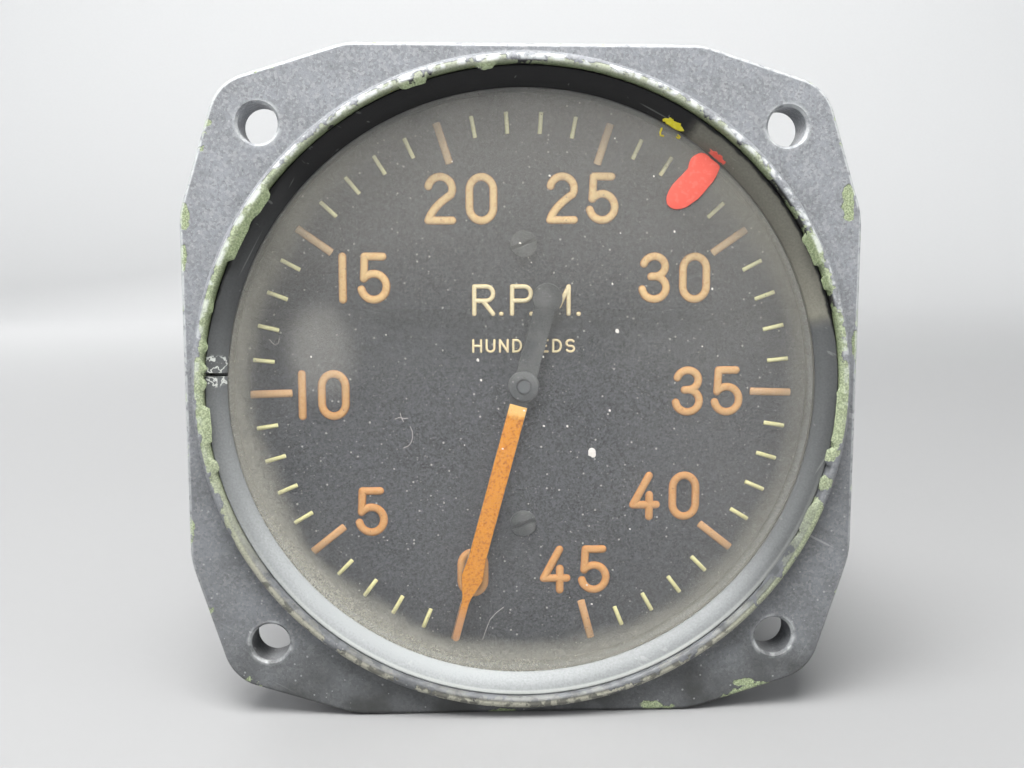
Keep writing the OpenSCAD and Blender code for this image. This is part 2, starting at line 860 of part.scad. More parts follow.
module stator_windings() {
    wire_w = slot_w - 2 * wire_gap;
    color("#8a4b25") {
        end_coil(core_front - end_turn, core_front - end_gap);
        end_coil(core_back + end_gap, core_back + end_turn);
        at_each(slot_angles, 0)
            translate([-wire_w / 2, core_front - end_turn / 2, coil_in_r + wire_gap])
                cube([wire_w, core_len + end_turn, coil_out_r - coil_in_r - 2 * wire_gap]);
    }
}

// Rotor: shaft, magnet and the two steel discs beside it
module rotor_shaft() {
    color("#b9bcc0") {
        disc(journal_r, shaft_front, shaft_back);
        disc(shaft_r, front_shield_back + end_gap, rear_bearing_y - end_gap);
    }
}
module rotor_magnet() {
    color("#5c5f63")
        ring(rotor_r, shaft_r + fit_gap, rotor_front, rotor_back);
}
module hysteresis_discs() {
    color("#84878b") {
        ring(rotor_r, shaft_r + fit_gap, rotor_front - hysteresis_t, rotor_front);
        ring(rotor_r, shaft_r + fit_gap, rotor_back, rotor_back + hysteresis_t);
    }
}

// Ball bearings
ball_angles = [for (i = [0 : ball_count - 1]) i * 360 / ball_count];
module race(r_in, r_out, y0) {
    color("#c3c6ca")
        turned()
            difference() {
                translate([r_in, y0])
                    square([r_out - r_in, bearing_w]);
                translate([pitch_r, y0 + bearing_w / 2])
                    circle(groove_r);
            }
}
module ball_set(y0, r) {
    at_each(ball_angles, pitch_r)
        translate([0, y0 + bearing_w / 2, 0])
            sphere(r);
}
module cage(y0) {
    middle = y0 + bearing_w / 2;
    color("#b08d48")
        difference() {
            ring(pitch_r + cage_half_t, pitch_r - cage_half_t, middle - cage_w / 2, middle + cage_w / 2);
            ball_set(y0, groove_r);
        }
}
module front_bearing_outer() {
    race(race_out_r, bearing_od / 2, front_bearing_y);
}
module front_bearing_inner() {
    race(bearing_bore / 2, race_in_r, front_bearing_y);
}
module front_bearing_balls() {
    color("#d5d8dc")
        ball_set(front_bearing_y, ball_r);
}
module front_bearing_cage() {
    cage(front_bearing_y);
}
module rear_bearing_outer() {
    race(race_out_r, bearing_od / 2, rear_bearing_y);
}
module rear_bearing_inner() {
    race(bearing_bore / 2, race_in_r, rear_bearing_y);
}
module rear_bearing_balls() {
    color("#d5d8dc")
        ball_set(rear_bearing_y, ball_r);
}
module rear_bearing_cage() {
    cage(rear_bearing_y);
}
module preload_washer() {
    color("#b9bcc0")
        ring(bearing_od / 2, race_out_r, washer_y, rear_lip_y);
}

// Three leads from the winding to the solder cups of the receptacle's pins
module stator_leads() {
    for (angle = pin_angles) {
        out = [sin(angle), 0, cos(angle)];
        start = out * lead_pos + [0, lead_start, 0];
        bend = out * lead_pos + [0, lead_turn, 0];
        meet = out * pin_circle_r + [0, lead_end, 0];
        finish = out * pin_circle_r + [0, cup_front + cup_bore_len - end_gap, 0];
        color("#7a2f28") {
            rod(start, bend, lead_r);
            translate(bend)
                sphere(bend_r);
            rod(bend, meet, lead_r);
            translate(meet)
                sphere(bend_r);
            rod(meet, finish, lead_r);
        }
    }
}

// Rear cover with its gasket and screws
module cover_disc(y0, y1) {
    difference() {
        disc(cover_r, y0, y1);
        disc(cover_hole_r, y0 - cut, y1 + cut);
        at_each(cover_angles, lug_pos)
            disc(tapped_r, y0 - cut, y1 + cut);
        children();
    }
}
module rear_gasket() {
    color("#1a1a1a")
        difference() {
            ring(cover_r, chamber_r - 2 * lug_r, case_back, cover_front);
            at_each(cover_angles, lug_pos)
                disc(tapped_r, case_back - cut, cover_front + cut);
        }
}
module rear_cover() {
    color("#2f3237")
        cover_disc(cover_front, cover_back)
            at_shell_screws()
                disc(shell_screw_r + fit_gap, cover_front - cut, cover_back + cut);
}
module slotted_head(r, y0) {
    slot_width = r / 3;
    difference() {
        disc(r, y0, y0 + head_h);
        translate([-2 * r, y0 + head_h / 2, -slot_width / 2])
            cube([4 * r, head_h, slot_width]);
    }
}
module rear_cover_screws() {
    color("#8f9296")
        at_each(cover_angles, lug_pos) {
            slotted_head(screw_head_r, cover_back);
            disc(screw_r, case_back - screw_reach, cover_back);
        }
}

// Receptacle: threaded shell, insulator, contact pins and screws
module at_shell_screws() {
    for (x = [-shell_screw_pos, shell_screw_pos], z = [-shell_screw_pos, shell_screw_pos])
        translate([x, 0, z])
            children();
}
module shell_flange() {
    inner = shell_flange_w - 2 * shell_corner_r;
    square([shell_flange_w, inner], center = true);
    square([inner, shell_flange_w], center = true);
    for (x = [-inner / 2, inner / 2], z = [-inner / 2, inner / 2])
        translate([x, z])
            circle(shell_corner_r);
}
module receptacle_shell() {
    key_w = 1.6;
    key_h = 1;
    color("#77797c") {
        difference() {
            union() {
                plate(cover_back, shell_back)
                    shell_flange();
                disc(thread_r, cover_back, shell_end);
            }
            disc(shell_bore_r, cover_back - cut, shell_end + cut);
            at_shell_screws()
                disc(shell_screw_r + fit_gap, cover_back - cut, shell_back + cut);
            thread_grooves();
        }
        translate([-key_w / 2, insert_back, shell_bore_r - key_h])
            cube([key_w, shell_end - insert_back, key_h + cut]);
    }
}
module thread_grooves() {
    groove_half = thread_pitch * 0.35;
    turned()
        for (i = [0 : thread_turns - 1])
            translate([thread_r, shell_end - thread_runout - i * thread_pitch])
                polygon([[-thread_depth, 0], [cut, -groove_half * (1 + cut / thread_depth)],
                    [cut, groove_half * (1 + cut / thread_depth)]]);
}
module receptacle_insert() {
    color("#3a2f26")
        difference() {
            disc(insert_r, insert_front, insert_back);
            at_each(pin_angles, pin_circle_r)
                disc(pin_r + fit_gap, insert_front - cut, insert_back + cut);
        }
}
module contact_pins() {
    color("#c9b98a")
        at_each(pin_angles, pin_circle_r) {
            disc(pin_r, insert_front, insert_back + pin_out - pin_r);
            translate([0, insert_back + pin_out - pin_r, 0])
                sphere(pin_r);
            difference() {
                disc(cup_r, cup_front, insert_front);
                disc(cup_bore_r, cup_front - cut, cup_front + cup_bore_len);
            }
        }
}
module receptacle_screws() {
    color("#8f9296")
        at_shell_screws() {
            slotted_head(shell_head_r, shell_back);
            disc(shell_screw_r, cover_front + end_gap, shell_back);
        }
}

case();
retaining_ring();
cover_glass();
glass_gasket();
dial();
dial_screws();
pointer();
pointer_hub();
pointer_staff();
front_bush();
rear_bush();
hairspring();
hairspring_collet();
hairspring_stud();
stop_arm();
stop_pin();
drag_disc();
drag_disc_hub();
front_plate();
bridge_plate();
movement_screws();
tie_rods();
tie_nuts();
front_spacers();
middle_spacers();
motor_front_spacers();
motor_rear_spacers();
magnet_front_plate();
magnet_rear_plate();
front_magnets();
rear_magnets();
magnet_pillars();
front_shield();
rear_shield();
stator_core();
stator_windings();
rotor_shaft();
rotor_magnet();
hysteresis_discs();
front_bearing_outer();
front_bearing_inner();
front_bearing_balls();
front_bearing_cage();
rear_bearing_outer();
rear_bearing_inner();
rear_bearing_balls();
rear_bearing_cage();
preload_washer();
stator_leads();
rear_gasket();
rear_cover();
rear_cover_screws();
receptacle_shell();
receptacle_insert();
contact_pins();
receptacle_screws();
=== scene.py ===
"""Looks of an aircraft tachometer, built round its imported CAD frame.

Every size is in millimetres in the frame of the part's source: the origin is
the centre of the four mounting holes on the flange's front face, the front
faces -Y and the top is +Z. A clock angle is in degrees, clockwise from the
top as the front is seen.
"""

import json
import logging
import math
import random
from collections.abc import Callable, Sequence
from dataclasses import dataclass, field
from enum import Enum

import bmesh
import bpy
from mathutils import Matrix, Vector
from mathutils.geometry import tessellate_polygon


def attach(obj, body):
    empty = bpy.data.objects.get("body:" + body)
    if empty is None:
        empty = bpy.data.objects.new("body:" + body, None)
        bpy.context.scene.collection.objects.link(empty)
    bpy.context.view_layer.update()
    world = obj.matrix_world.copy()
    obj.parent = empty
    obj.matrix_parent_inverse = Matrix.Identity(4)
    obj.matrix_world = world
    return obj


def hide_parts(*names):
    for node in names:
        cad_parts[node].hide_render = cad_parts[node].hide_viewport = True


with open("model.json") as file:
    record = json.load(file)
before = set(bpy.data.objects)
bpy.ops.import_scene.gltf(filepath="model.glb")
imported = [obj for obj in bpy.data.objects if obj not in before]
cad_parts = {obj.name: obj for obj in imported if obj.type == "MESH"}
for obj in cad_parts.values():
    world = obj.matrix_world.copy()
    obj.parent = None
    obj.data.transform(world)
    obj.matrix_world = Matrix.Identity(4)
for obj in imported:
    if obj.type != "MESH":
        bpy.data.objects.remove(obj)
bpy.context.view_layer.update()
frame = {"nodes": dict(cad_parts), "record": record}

LOG = logging.getLogger("tachometer")
MM = 0.001

Point = tuple[float, float, float]
Flat = tuple[float, float]
Colour = tuple[float, float, float]
Piece = bpy.types.Object
Tree = bpy.types.NodeTree
Node = bpy.types.Node
Socket = bpy.types.NodeSocket


class Body(Enum):
    """Bodies of the frame that a piece can ride on."""

    HOUSING = "housing"
    POINTER = "pointer_movement"


def shade(red: int, green: int, blue: int) -> Colour:
    """Turns a screen colour of 0 to 255 into linear light.

    Args:
        red: Red as a screen shows it.
        green: Green as a screen shows it.
        blue: Blue as a screen shows it.

    Returns:
        The colour in linear light.
    """

    def linear(level: int) -> float:
        """Gives one channel in linear light."""
        part = level / 255
        return part / 12.92 if part <= 0.04045 else ((part + 0.055) / 1.055) ** 2.4

    return linear(red), linear(green), linear(blue)


def clock(radius: float, angle: float, depth: float) -> Point:
    """Gives the point at a radius, a clock angle in degrees and a depth."""
    turn = math.radians(angle)
    return radius * math.sin(turn), depth, radius * math.cos(turn)


def arc(mid: Flat, reach: Flat, start: float, end: float, steps: int = 14) -> list[Flat]:
    """Draws part of an ellipse between two angles, counter-clockwise from the right."""
    turns = [math.radians(start + (end - start) * i / steps) for i in range(steps + 1)]
    return [(mid[0] + reach[0] * math.cos(t), mid[1] + reach[1] * math.sin(t)) for t in turns]


def circle(mid: Flat, radius: float, steps: int) -> list[Flat]:
    """Draws a whole circle counter-clockwise, with its first point only once."""
    return arc(mid, (radius, radius), 0, 360, steps)[:-1]


def rounding(radius: float, steps: int = 4) -> list[Flat]:
    """Draws a rounded edge in section: shares of its radius inwards, and depths."""
    turns = [math.pi / 2 * i / steps for i in range(steps + 1)]
    return [(1 - math.sin(t), radius * (1 - math.cos(t))) for t in turns]


def inset(outline: Sequence[Flat], depth: float) -> list[Flat]:
    """Moves a counter-clockwise outline inwards.

    Args:
        outline: Corners of the outline.
        depth: How far each side moves.

    Returns:
        The corners of the smaller outline.
    """
    count = len(outline)
    moved = []
    for i, (x, z) in enumerate(outline):
        before, after = outline[i - 1], outline[(i + 1) % count]
        first = Vector((x - before[0], z - before[1])).normalized()
        second = Vector((after[0] - x, after[1] - z)).normalized()
        one, two = Vector((-first.y, first.x)), Vector((-second.y, second.x))
        step = (one + two) / max(0.35, 1 + one.dot(two)) * depth
        moved.append((x + step.x, z + step.y))
    return moved


def soften(outline: Sequence[Flat], rounds: int) -> list[Flat]:
    """Rounds the corners of a closed outline.

    Args:
        outline: Its corners.
        rounds: How many times the corners are cut.

    Returns:
        The corners of the rounder outline.
    """
    points = list(outline)
    for _ in range(rounds):
        cut = []
        for i, (x, z) in enumerate(points):
            nx, nz = points[(i + 1) % len(points)]
            cut += [(x + (nx - x) * t, z + (nz - z) * t) for t in (0.25, 0.75)]
        points = cut
    return points


class Mould:
    """Gathers the points and faces of one piece until it is cast as a mesh."""

    def __init__(self) -> None:
        """Starts empty."""
        self.points: list[Point] = []
        self.faces: list[tuple[int, ...]] = []

    def loop(self, points: Sequence[Point]) -> list[int]:
        """Adds a row of points.

        Args:
            points: The points in order.

        Returns:
            Their places in the mould.
        """
        start = len(self.points)
        self.points.extend(points)
        return list(range(start, len(self.points)))

    def level(self, outline: Sequence[Flat], depth: float) -> list[int]:
        """Adds an outline of x and z at one depth, and gives its places."""
        return self.loop([(x, depth, z) for x, z in outline])

    def band(self, first: Sequence[int], second: Sequence[int]) -> None:
        """Joins two closed rows of points with a strip of faces.

        Args:
            first: One row.
            second: The other row, with as many points.
        """
        for i, corner in enumerate(first):
            j = (i + 1) % len(first)
            self.faces.append((corner, first[j], second[j], second[i]))

    def fill(self, loops: Sequence[Sequence[int]]) -> None:
        """Closes a flat face that has holes.

        Args:
            loops: Its outline and the outlines of its holes.
        """
        places = [i for loop in loops for i in loop]
        drawn = []
        for loop in loops:
            drawn.append([Vector((self.points[i][0], self.points[i][2], 0)) for i in loop])
        for corners in tessellate_polygon(drawn):
            self.faces.append(tuple(places[i] for i in corners))

    def skin(self, loops: Sequence[Sequence[int]], ends: bool = True) -> None:
        """Joins closed rows one after another, and closes the two ends.

        Args:
            loops: The rows in order.
            ends: Whether the first and the last row are filled.
        """
        for first, second in zip(loops, loops[1:]):
            self.band(first, second)
        if ends:
            self.faces.append(tuple(loops[0]))
            self.faces.append(tuple(loops[-1]))

    def turn(
        self,
        profile: Sequence[Flat],
        start: float = 0,
        sweep: float = 360,
        steps: int = 192,
        bend: Callable[[int, int], Flat] | None = None,
    ) -> None:
        """Turns a closed profile of radius and depth round the axis.

        Args:
            profile: Corners as radius and depth.
            start: First clock angle.
            sweep: How far it goes round.
            steps: Number of chords.
            bend: Gives how far a corner moves in radius and depth at a step, or None.
        """
        whole = sweep >= 360
        count = steps if whole else steps + 1
        loops = []
        for i in range(count):
            angle = start + sweep * i / steps
            row = profile
            if bend is not None:
                moves = [bend(k, i) for k in range(len(profile))]
                row = [(r + dr, y + dy) for (r, y), (dr, dy) in zip(profile, moves)]
            loops.append(self.loop([clock(r, angle, y) for r, y in row]))
        self.skin(loops + loops[:1] if whole else loops, ends=not whole)

    def slab(
        self, outline: Callable[[float], list[Flat]], front: float, back: float, round_by: float
    ) -> None:
        """Makes a plate with rounded edges.

        Args:
            outline: Draws the outline, moved inwards by a given depth.
            front: Depth of the front face.
            back: Depth of the back face.
            round_by: Radius of its edges.
        """
        edge = rounding(round_by)
        rows = [(share, front + deep) for share, deep in edge]
        rows += [(share, back - deep) for share, deep in reversed(edge)]
        self.skin([self.level(outline(round_by * share), y) for share, y in rows])

    def plate(self, outline: Sequence[Flat], front: float, back: float, round_by: float) -> None:
        """Makes a plate with rounded edges from a counter-clockwise outline."""
        self.slab(lambda depth: inset(outline, depth), front, back, round_by)

    def bead(
        self,
        path: Sequence[Flat],
        width: float,
        rise: float,
        face: float,
        closed: bool = False,
        cap: float = 1.0,
    ) -> None:
        """Lays a raised stroke on a flat face.

        Args:
            path: Middle line of the stroke as x and z.
            width: Width of the stroke.
            rise: Height of its crown.
            face: Depth of the face that it lies on.
            closed: Whether the last point joins the first.
            cap: How round its ends are, from 0 to 1.
        """
        arch, chords, sunk = 8, 4, 0.04
        count = len(path)
        rows: list[tuple[Flat, Flat, float]] = []
        for i, spot in enumerate(path):
            before = path[i - 1] if closed or i else spot
            after = path[(i + 1) % count] if closed or i < count - 1 else spot
            way = Vector((after[0] - before[0], after[1] - before[1])).normalized()
            rows.append((spot, (way.x, way.y), 1.0))
        if not closed:
            for end, sign in ((rows[0], -1), (rows[-1], 1)):
                (x, z), (dx, dz), _ = end
                tips = []
                for k in range(1, chords + 1):
                    lean = math.pi / 2 * k / chords
                    out = sign * cap * width / 2 * math.sin(lean)
                    tips.append(((x + dx * out, z + dz * out), (dx, dz), math.cos(lean)))
                rows = tips[::-1] + rows if sign < 0 else rows + tips
        loops = []
        for (x, z), (dx, dz), share in rows:
            ring = []
            for k in range(arch + 1):
                lean = math.pi * k / arch
                side = width / 2 * math.cos(lean) * share
                ring.append((x - dz * side, face - rise * math.sin(lean) * share, z + dx * side))
            half = width / 2 * share
            ring.append((x + dz * half, face + sunk, z - dx * half))
            ring.append((x - dz * half, face + sunk, z + dx * half))
            loops.append(self.loop(ring))
        self.skin(loops + loops[:1] if closed else loops, ends=not closed)

    def cast(self, name: str, sharp: float = 35) -> Piece:
        """Makes the piece as a closed, smoothly shaded mesh.

        Args:
            name: Name of the piece.
            sharp: Angle in degrees above which an edge stays sharp.

        Returns:
            The new object, linked to the scene.
        """
        mesh = bpy.data.meshes.new(name)
        mesh.from_pydata([tuple(c * MM for c in p) for p in self.points], [], self.faces)
        work = bmesh.new()
        work.from_mesh(mesh)
        bmesh.ops.remove_doubles(work, verts=work.verts, dist=1e-8)
        bmesh.ops.dissolve_degenerate(work, edges=work.edges, dist=1e-9)
        bmesh.ops.recalc_face_normals(work, faces=work.faces)
        work.to_mesh(mesh)
        work.free()
        mesh.shade_smooth()
        mesh.set_sharp_from_angle(angle=math.radians(sharp))
        piece = bpy.data.objects.new(name, mesh)
        bpy.context.scene.collection.objects.link(piece)
        return piece


class Wire:
    """An output in a shader tree that takes part in plain arithmetic."""

    def __init__(self, graph: "Graph", socket: Socket) -> None:
        """Keeps the output and the graph that it belongs to."""
        self.graph, self.socket = graph, socket

    def __add__(self, other: "Value") -> "Wire":
        """Adds a value."""
        return self.graph.math("ADD", self, other)

    def __radd__(self, other: "Value") -> "Wire":
        """Is added to a value."""
        return self.graph.math("ADD", other, self)

    def __sub__(self, other: "Value") -> "Wire":
        """Takes a value away."""
        return self.graph.math("SUBTRACT", self, other)

    def __rsub__(self, other: "Value") -> "Wire":
        """Is taken away from a value."""
        return self.graph.math("SUBTRACT", other, self)

    def __mul__(self, other: "Value") -> "Wire":
        """Multiplies by a value."""
        return self.graph.math("MULTIPLY", self, other)

    def __truediv__(self, other: "Value") -> "Wire":
        """Divides by a value."""
        return self.graph.math("DIVIDE", self, other)

    def __mod__(self, other: "Value") -> "Wire":
        """Gives what is left over above whole multiples of a value."""
        return self.graph.math("FLOORED_MODULO", self, other)

    def __abs__(self) -> "Wire":
        """Drops the sign."""
        return self.graph.math("ABSOLUTE", self)


Value = float | Wire


class Graph:
    """Adds nodes to one shader tree and links them."""

    def __init__(self, tree: Tree) -> None:
        """Keeps the tree that nodes are added to."""
        self.tree = tree

    def add(self, kind: str, **settings: object) -> Node:
        """Adds a node.

        Args:
            kind: Blender's name of the node.
            settings: Values of the node's own properties.

        Returns:
            The new node.
        """
        node = self.tree.nodes.new(kind)
        for name, value in settings.items():
            setattr(node, name, value)
        return node

    def out(self, node: Node, key: int | str = 0) -> Wire:
        """Gives one of a node's outputs by its place or its name."""
        return Wire(self, node.outputs[key])

    def feed(self, socket: Socket, value: object) -> None:
        """Links an input to an output, or sets a plain value on it.

        Args:
            socket: The input.
            value: An output, a number or a colour.
        """
        if isinstance(value, Wire):
            self.tree.links.new(value.socket, socket)
        elif socket.type == "RGBA":
            socket.default_value = (*value[:3], 1)
        else:
            socket.default_value = value

    def math(self, operation: str, *values: Value) -> Wire:
        """Works out a number.

        Args:
            operation: Blender's name of the operation.
            values: Its numbers or outputs.

        Returns:
            The result.
        """
        node = self.add("ShaderNodeMath", operation=operation)
        for socket, value in zip(node.inputs, values):
            self.feed(socket, value)
        return self.out(node)

    def most(self, one: Value, two: Value) -> Wire:
        """Gives the larger of two values."""
        return self.math("MAXIMUM", one, two)

    def least(self, one: Value, two: Value) -> Wire:
        """Gives the smaller of two values."""
        return self.math("MINIMUM", one, two)

    def length(self, one: Wire, two: Wire) -> Wire:
        """Gives the length of a vector of two parts."""
        return self.math("SQRT", one * one + two * two)

    def step(self, value: Value, low: Value, high: Value) -> Wire:
        """Rises smoothly from 0 to 1.

        Args:
            value: What is read.
            low: Where the result is still 0.
            high: Where the result is 1.

        Returns:
            The result.
        """
        node = self.add("ShaderNodeMapRange", interpolation_type="SMOOTHSTEP")
        for socket, part in zip(node.inputs, (value, low, high)):
            self.feed(socket, part)
        return self.out(node)

    def mix(self, share: Value, one: object, two: object) -> Wire:
        """Mixes two colours.

        Args:
            share: How much of the second one.
            one: First colour.
            two: Second colour.

        Returns:
            The mixed colour.
        """
        node = self.add("ShaderNodeMix", data_type="RGBA")
        for place, part in ((0, share), (6, one), (7, two)):
            self.feed(node.inputs[place], part)
        return self.out(node, 2)

    def place(self) -> Wire:
        """Gives the point on the piece in millimetres."""
        spot = self.out(self.add("ShaderNodeTexCoord"), "Object")
        node = self.add("ShaderNodeVectorMath", operation="SCALE")
        self.feed(node.inputs[0], spot)
        node.inputs["Scale"].default_value = 1 / MM
        return self.out(node)

    def parts(self) -> tuple[Wire, ...]:
        """Gives x, y and z of the point on the piece in millimetres."""
        node = self.add("ShaderNodeSeparateXYZ")
        self.feed(node.inputs[0], self.place())
        return tuple(self.out(node, axis) for axis in range(3))

    def noise(self, scale: Value, detail: float = 4, spot: Wire | None = None) -> Wire:
        """Gives soft noise between 0 and 1.

        Args:
            scale: Waves to the millimetre.
            detail: How much finer noise is added.
            spot: Point that is read, or None for the point on the piece.

        Returns:
            The noise.
        """
        node = self.add("ShaderNodeTexNoise")
        self.feed(node.inputs["Vector"], spot or self.place())
        self.feed(node.inputs["Scale"], scale)
        node.inputs["Detail"].default_value = detail
        return self.out(node)

    def ramp(self, value: Wire, stops: Sequence[Flat], span: float = 360) -> Wire:
        """Reads a curve that is given by its stops.

        Args:
            value: What is read.
            stops: Places, from 0 to the span, and the level at each.
            span: Largest place.

        Returns:
            The level.
        """
        node = self.add("ShaderNodeValToRGB")
        bar = node.color_ramp.elements
        while len(bar) < len(stops):
            bar.new(1.0)
        for stop, (spot, level) in zip(bar, stops):
            stop.position = spot / span
            stop.color = (level, level, level, 1)
        self.feed(node.inputs[0], value / span)
        return self.out(node)

    def effect(self, effect: "Effect", **values: Value) -> dict[str, Wire]:
        """Places a shared effect.

        Args:
            effect: Which effect.
            values: Its inputs by name.

        Returns:
            Its outputs by name.
        """
        node = self.add("ShaderNodeGroup", node_tree=EFFECTS.tree(effect))
        for name, value in values.items():
            self.feed(node.inputs[name.capitalize()], value)
        return {socket.name: Wire(self, socket) for socket in node.outputs}

    def bump(self, height: Value, depth: float) -> Wire:
        """Turns a height of 0 to 1 into a normal.

        Args:
            height: The height.
            depth: What a height of 1 stands for, in millimetres.

        Returns:
            The normal.
        """
        node = self.add("ShaderNodeBump")
        node.inputs["Strength"].default_value = 1
        node.inputs["Distance"].default_value = depth * MM
        self.feed(node.inputs["Height"], height)
        return self.out(node)


class Effect(Enum):
    """Effects that several finishes share, each named for the method that builds it."""

    FLANGE_EDGE = "flange_edge"
    CHIPS = "chipped_edge"
    DUST = "settled_dust"
    GRAIN = "surface_grain"
    SCRATCHES = "fine_scratches"
    TURNED = "turned_rings"
    CLOCK = "clock_place"
    PEELING = "peeling_lines"


@dataclass(frozen=True)
class FlangeShape:
    """Outline of the flange: four flats, slanting sides and round ears."""

    half: float = 40.9
    flat: float = 21.0
    blend: float = 11.0
    hole_place: float = 31.435
    ear: float = 5.9
    hole: float = 2.35
    thick: float = 4.8

    @property
    def slant(self) -> float:
        """Angle of the slanting side below the flat, in radians."""
        way = (self.hole_place - self.flat, self.hole_place - self.half)
        return -(math.atan2(way[1], way[0]) + math.asin(self.ear / math.hypot(*way)))

    def outline(self, depth: float) -> list[Flat]:
        """Draws the outline counter-clockwise.

        Args:
            depth: How far it is moved inwards.

        Returns:
            The corners as x and z.
        """
        lean = math.degrees(self.slant)
        back = self.blend * math.tan(self.slant / 2)
        mid = (self.flat - back, self.half - self.blend)
        ear = (self.hole_place, self.hole_place)
        small, large = self.ear - depth, self.blend - depth
        quarter = arc((mid[1], mid[0]), (large, large), 0, lean, 6)
        quarter += arc(ear, (small, small), lean, 90 - lean, 16)
        quarter += arc(mid, (large, large), 90 - lean, 90, 6)
        points = []
        for _ in range(4):
            points += quarter
            quarter = [(-z, x) for x, z in quarter]
        return points


FLANGE = FlangeShape()


class Effects:
    """Builds each shared effect once, as a node group."""

    def __init__(self) -> None:
        """Starts with no groups."""
        self.made: dict[Effect, Tree] = {}

    def tree(self, effect: Effect) -> Tree:
        """Gives an effect's group, built on first use.

        Args:
            effect: Which effect.

        Returns:
            The group's tree.
        """
        if effect not in self.made:
            self.made[effect] = getattr(self, effect.name.lower())(effect.value)
        return self.made[effect]

    @staticmethod
    def start(
        name: str, inputs: dict[str, float], outputs: Sequence[str]
    ) -> tuple[Graph, list[Wire], Node]:
        """Starts a group.

        Args:
            name: Name of the group.
            inputs: Its inputs and their usual values.
            outputs: Its outputs.

        Returns:
            The graph, the group's inputs in order and its output node.
        """
        tree = bpy.data.node_groups.new(name, "ShaderNodeTree")
        for title, value in inputs.items():
            socket = tree.interface.new_socket(title, in_out="INPUT", socket_type="NodeSocketFloat")
            socket.default_value = value
        for title in outputs:
            tree.interface.new_socket(title, in_out="OUTPUT", socket_type="NodeSocketFloat")
        graph = Graph(tree)
        given = graph.add("NodeGroupInput")
        return graph, [graph.out(given, title) for title in inputs], graph.add("NodeGroupOutput")

    @staticmethod
    def close(g: Graph, out: Node, **results: Wire) -> Tree:
        """Links a group's results to its outputs.

        Args:
            g: Graph of the group.
            out: Its output node.
            results: The results by the names of the outputs.

        Returns:
            The group's tree.
        """
        for title, result in results.items():
            g.feed(out.inputs[title], result)
        return g.tree

    @staticmethod
    def cells(g: Graph, scale: Wire) -> tuple[Wire, Wire]:
        """Splits the surface into small cells.

        Args:
            g: Graph of the group.
            scale: Cells to the millimetre.

        Returns:
            A level of each cell between 0 and 1, and the distance from its middle.
        """
        node = g.add("ShaderNodeTexVoronoi")
        g.feed(node.inputs["Vector"], g.place())
        g.feed(node.inputs["Scale"], scale)
        pick = g.add("ShaderNodeSeparateColor")
        g.feed(pick.inputs[0], g.out(node, "Color"))
        return g.out(pick), g.out(node, "Distance")

    def flange_edge(self, name: str) -> Tree:
        """Distance from the flange's outer edges and from its hole edges."""
        inputs = {"Thickness": FLANGE.thick}
        g, (thickness,), out = self.start(name, inputs, ("Outer", "Hole"))
        x, y, z = g.parts()
        x, z = abs(x), abs(z)
        high, low = g.most(x, z), g.least(x, z)
        across, up = low - FLANGE.hole_place, high - FLANGE.hole_place
        sine, cosine = math.sin(FLANGE.slant), math.cos(FLANGE.slant)
        along = across * cosine - up * sine
        outward = across * sine + up * cosine
        round_end = g.length(g.most(along, 0.0), g.most(outward, 0.0))
        side = g.most(g.least(FLANGE.half - high, FLANGE.ear - round_end), 0.0)
        behind = thickness - y
        edge = g.least(g.length(side, y), g.length(side, behind))
        bore = g.length(across, up) - FLANGE.hole
        return self.close(g, out, Outer=edge, Hole=g.length(bore, y))

    def chips(self, name: str) -> Tree:
        """Ragged chips in paint near an edge: primer, and bare metal within it."""
        inputs = {"Distance": 1, "Reach": 1, "Scale": 1, "Amount": 0.5}
        g, (distance, reach, scale, amount), out = self.start(name, inputs, ("Primer", "Metal"))
        broad = g.noise(scale, 5)
        fine = g.noise(scale * 5.0, 3)
        ragged = broad * 0.75 + fine * 0.25
        middle = 1.0 - amount
        low, high = middle - 0.1, middle + 0.1
        span = reach * g.step(ragged, low, high)
        primer = g.step(span - distance, 0.0, 0.1)
        metal = g.step(span * 0.55 - distance, 0.0, 0.12)
        return self.close(g, out, Primer=primer, Metal=metal)

    def dust(self, name: str) -> Tree:
        """A cloudy film of dust, and single specks of it."""
        inputs = {"Scale": 0.06, "Specks": 1}
        g, (scale, specks), out = self.start(name, inputs, ("Film", "Specks"))
        film = g.step(g.noise(scale, 6), 0.36, 0.68)
        level, distance = self.cells(g, specks)
        size = g.step(level, 0.45, 1.0) * 0.2
        return self.close(g, out, Film=film, Specks=g.step(size - distance, 0.0, 0.05))

    def grain(self, name: str) -> Tree:
        """Fine and broad grain of a surface, and a speckle of single grains."""
        g, (scale,), out = self.start(name, {"Scale": 4}, ("Fine", "Broad", "Speckle"))
        fine = g.noise(scale, 5)
        broad = g.step(g.noise(scale * 0.04, 4), 0.3, 0.7)
        speckle, _ = self.cells(g, scale)
        return self.close(g, out, Fine=fine, Broad=broad, Speckle=speckle)

    def scratches(self, name: str) -> Tree:
        """Thin scratches in two directions."""
        g, (scale,), out = self.start(name, {"Scale": 1}, ("Mask",))
        lines = []
        for lean, stretch in ((28, 0.05), (-62, 0.035)):
            turned = g.add("ShaderNodeMapping", vector_type="TEXTURE")
            g.feed(turned.inputs["Vector"], g.place())
            turned.inputs["Rotation"].default_value = (0, math.radians(lean), 0)
            turned.inputs["Scale"].default_value = (1 / stretch, 1, 1)
            lines.append(g.step(g.noise(scale, 2, g.out(turned)), 0.7, 0.75))
        return self.close(g, out, Mask=g.most(*lines))

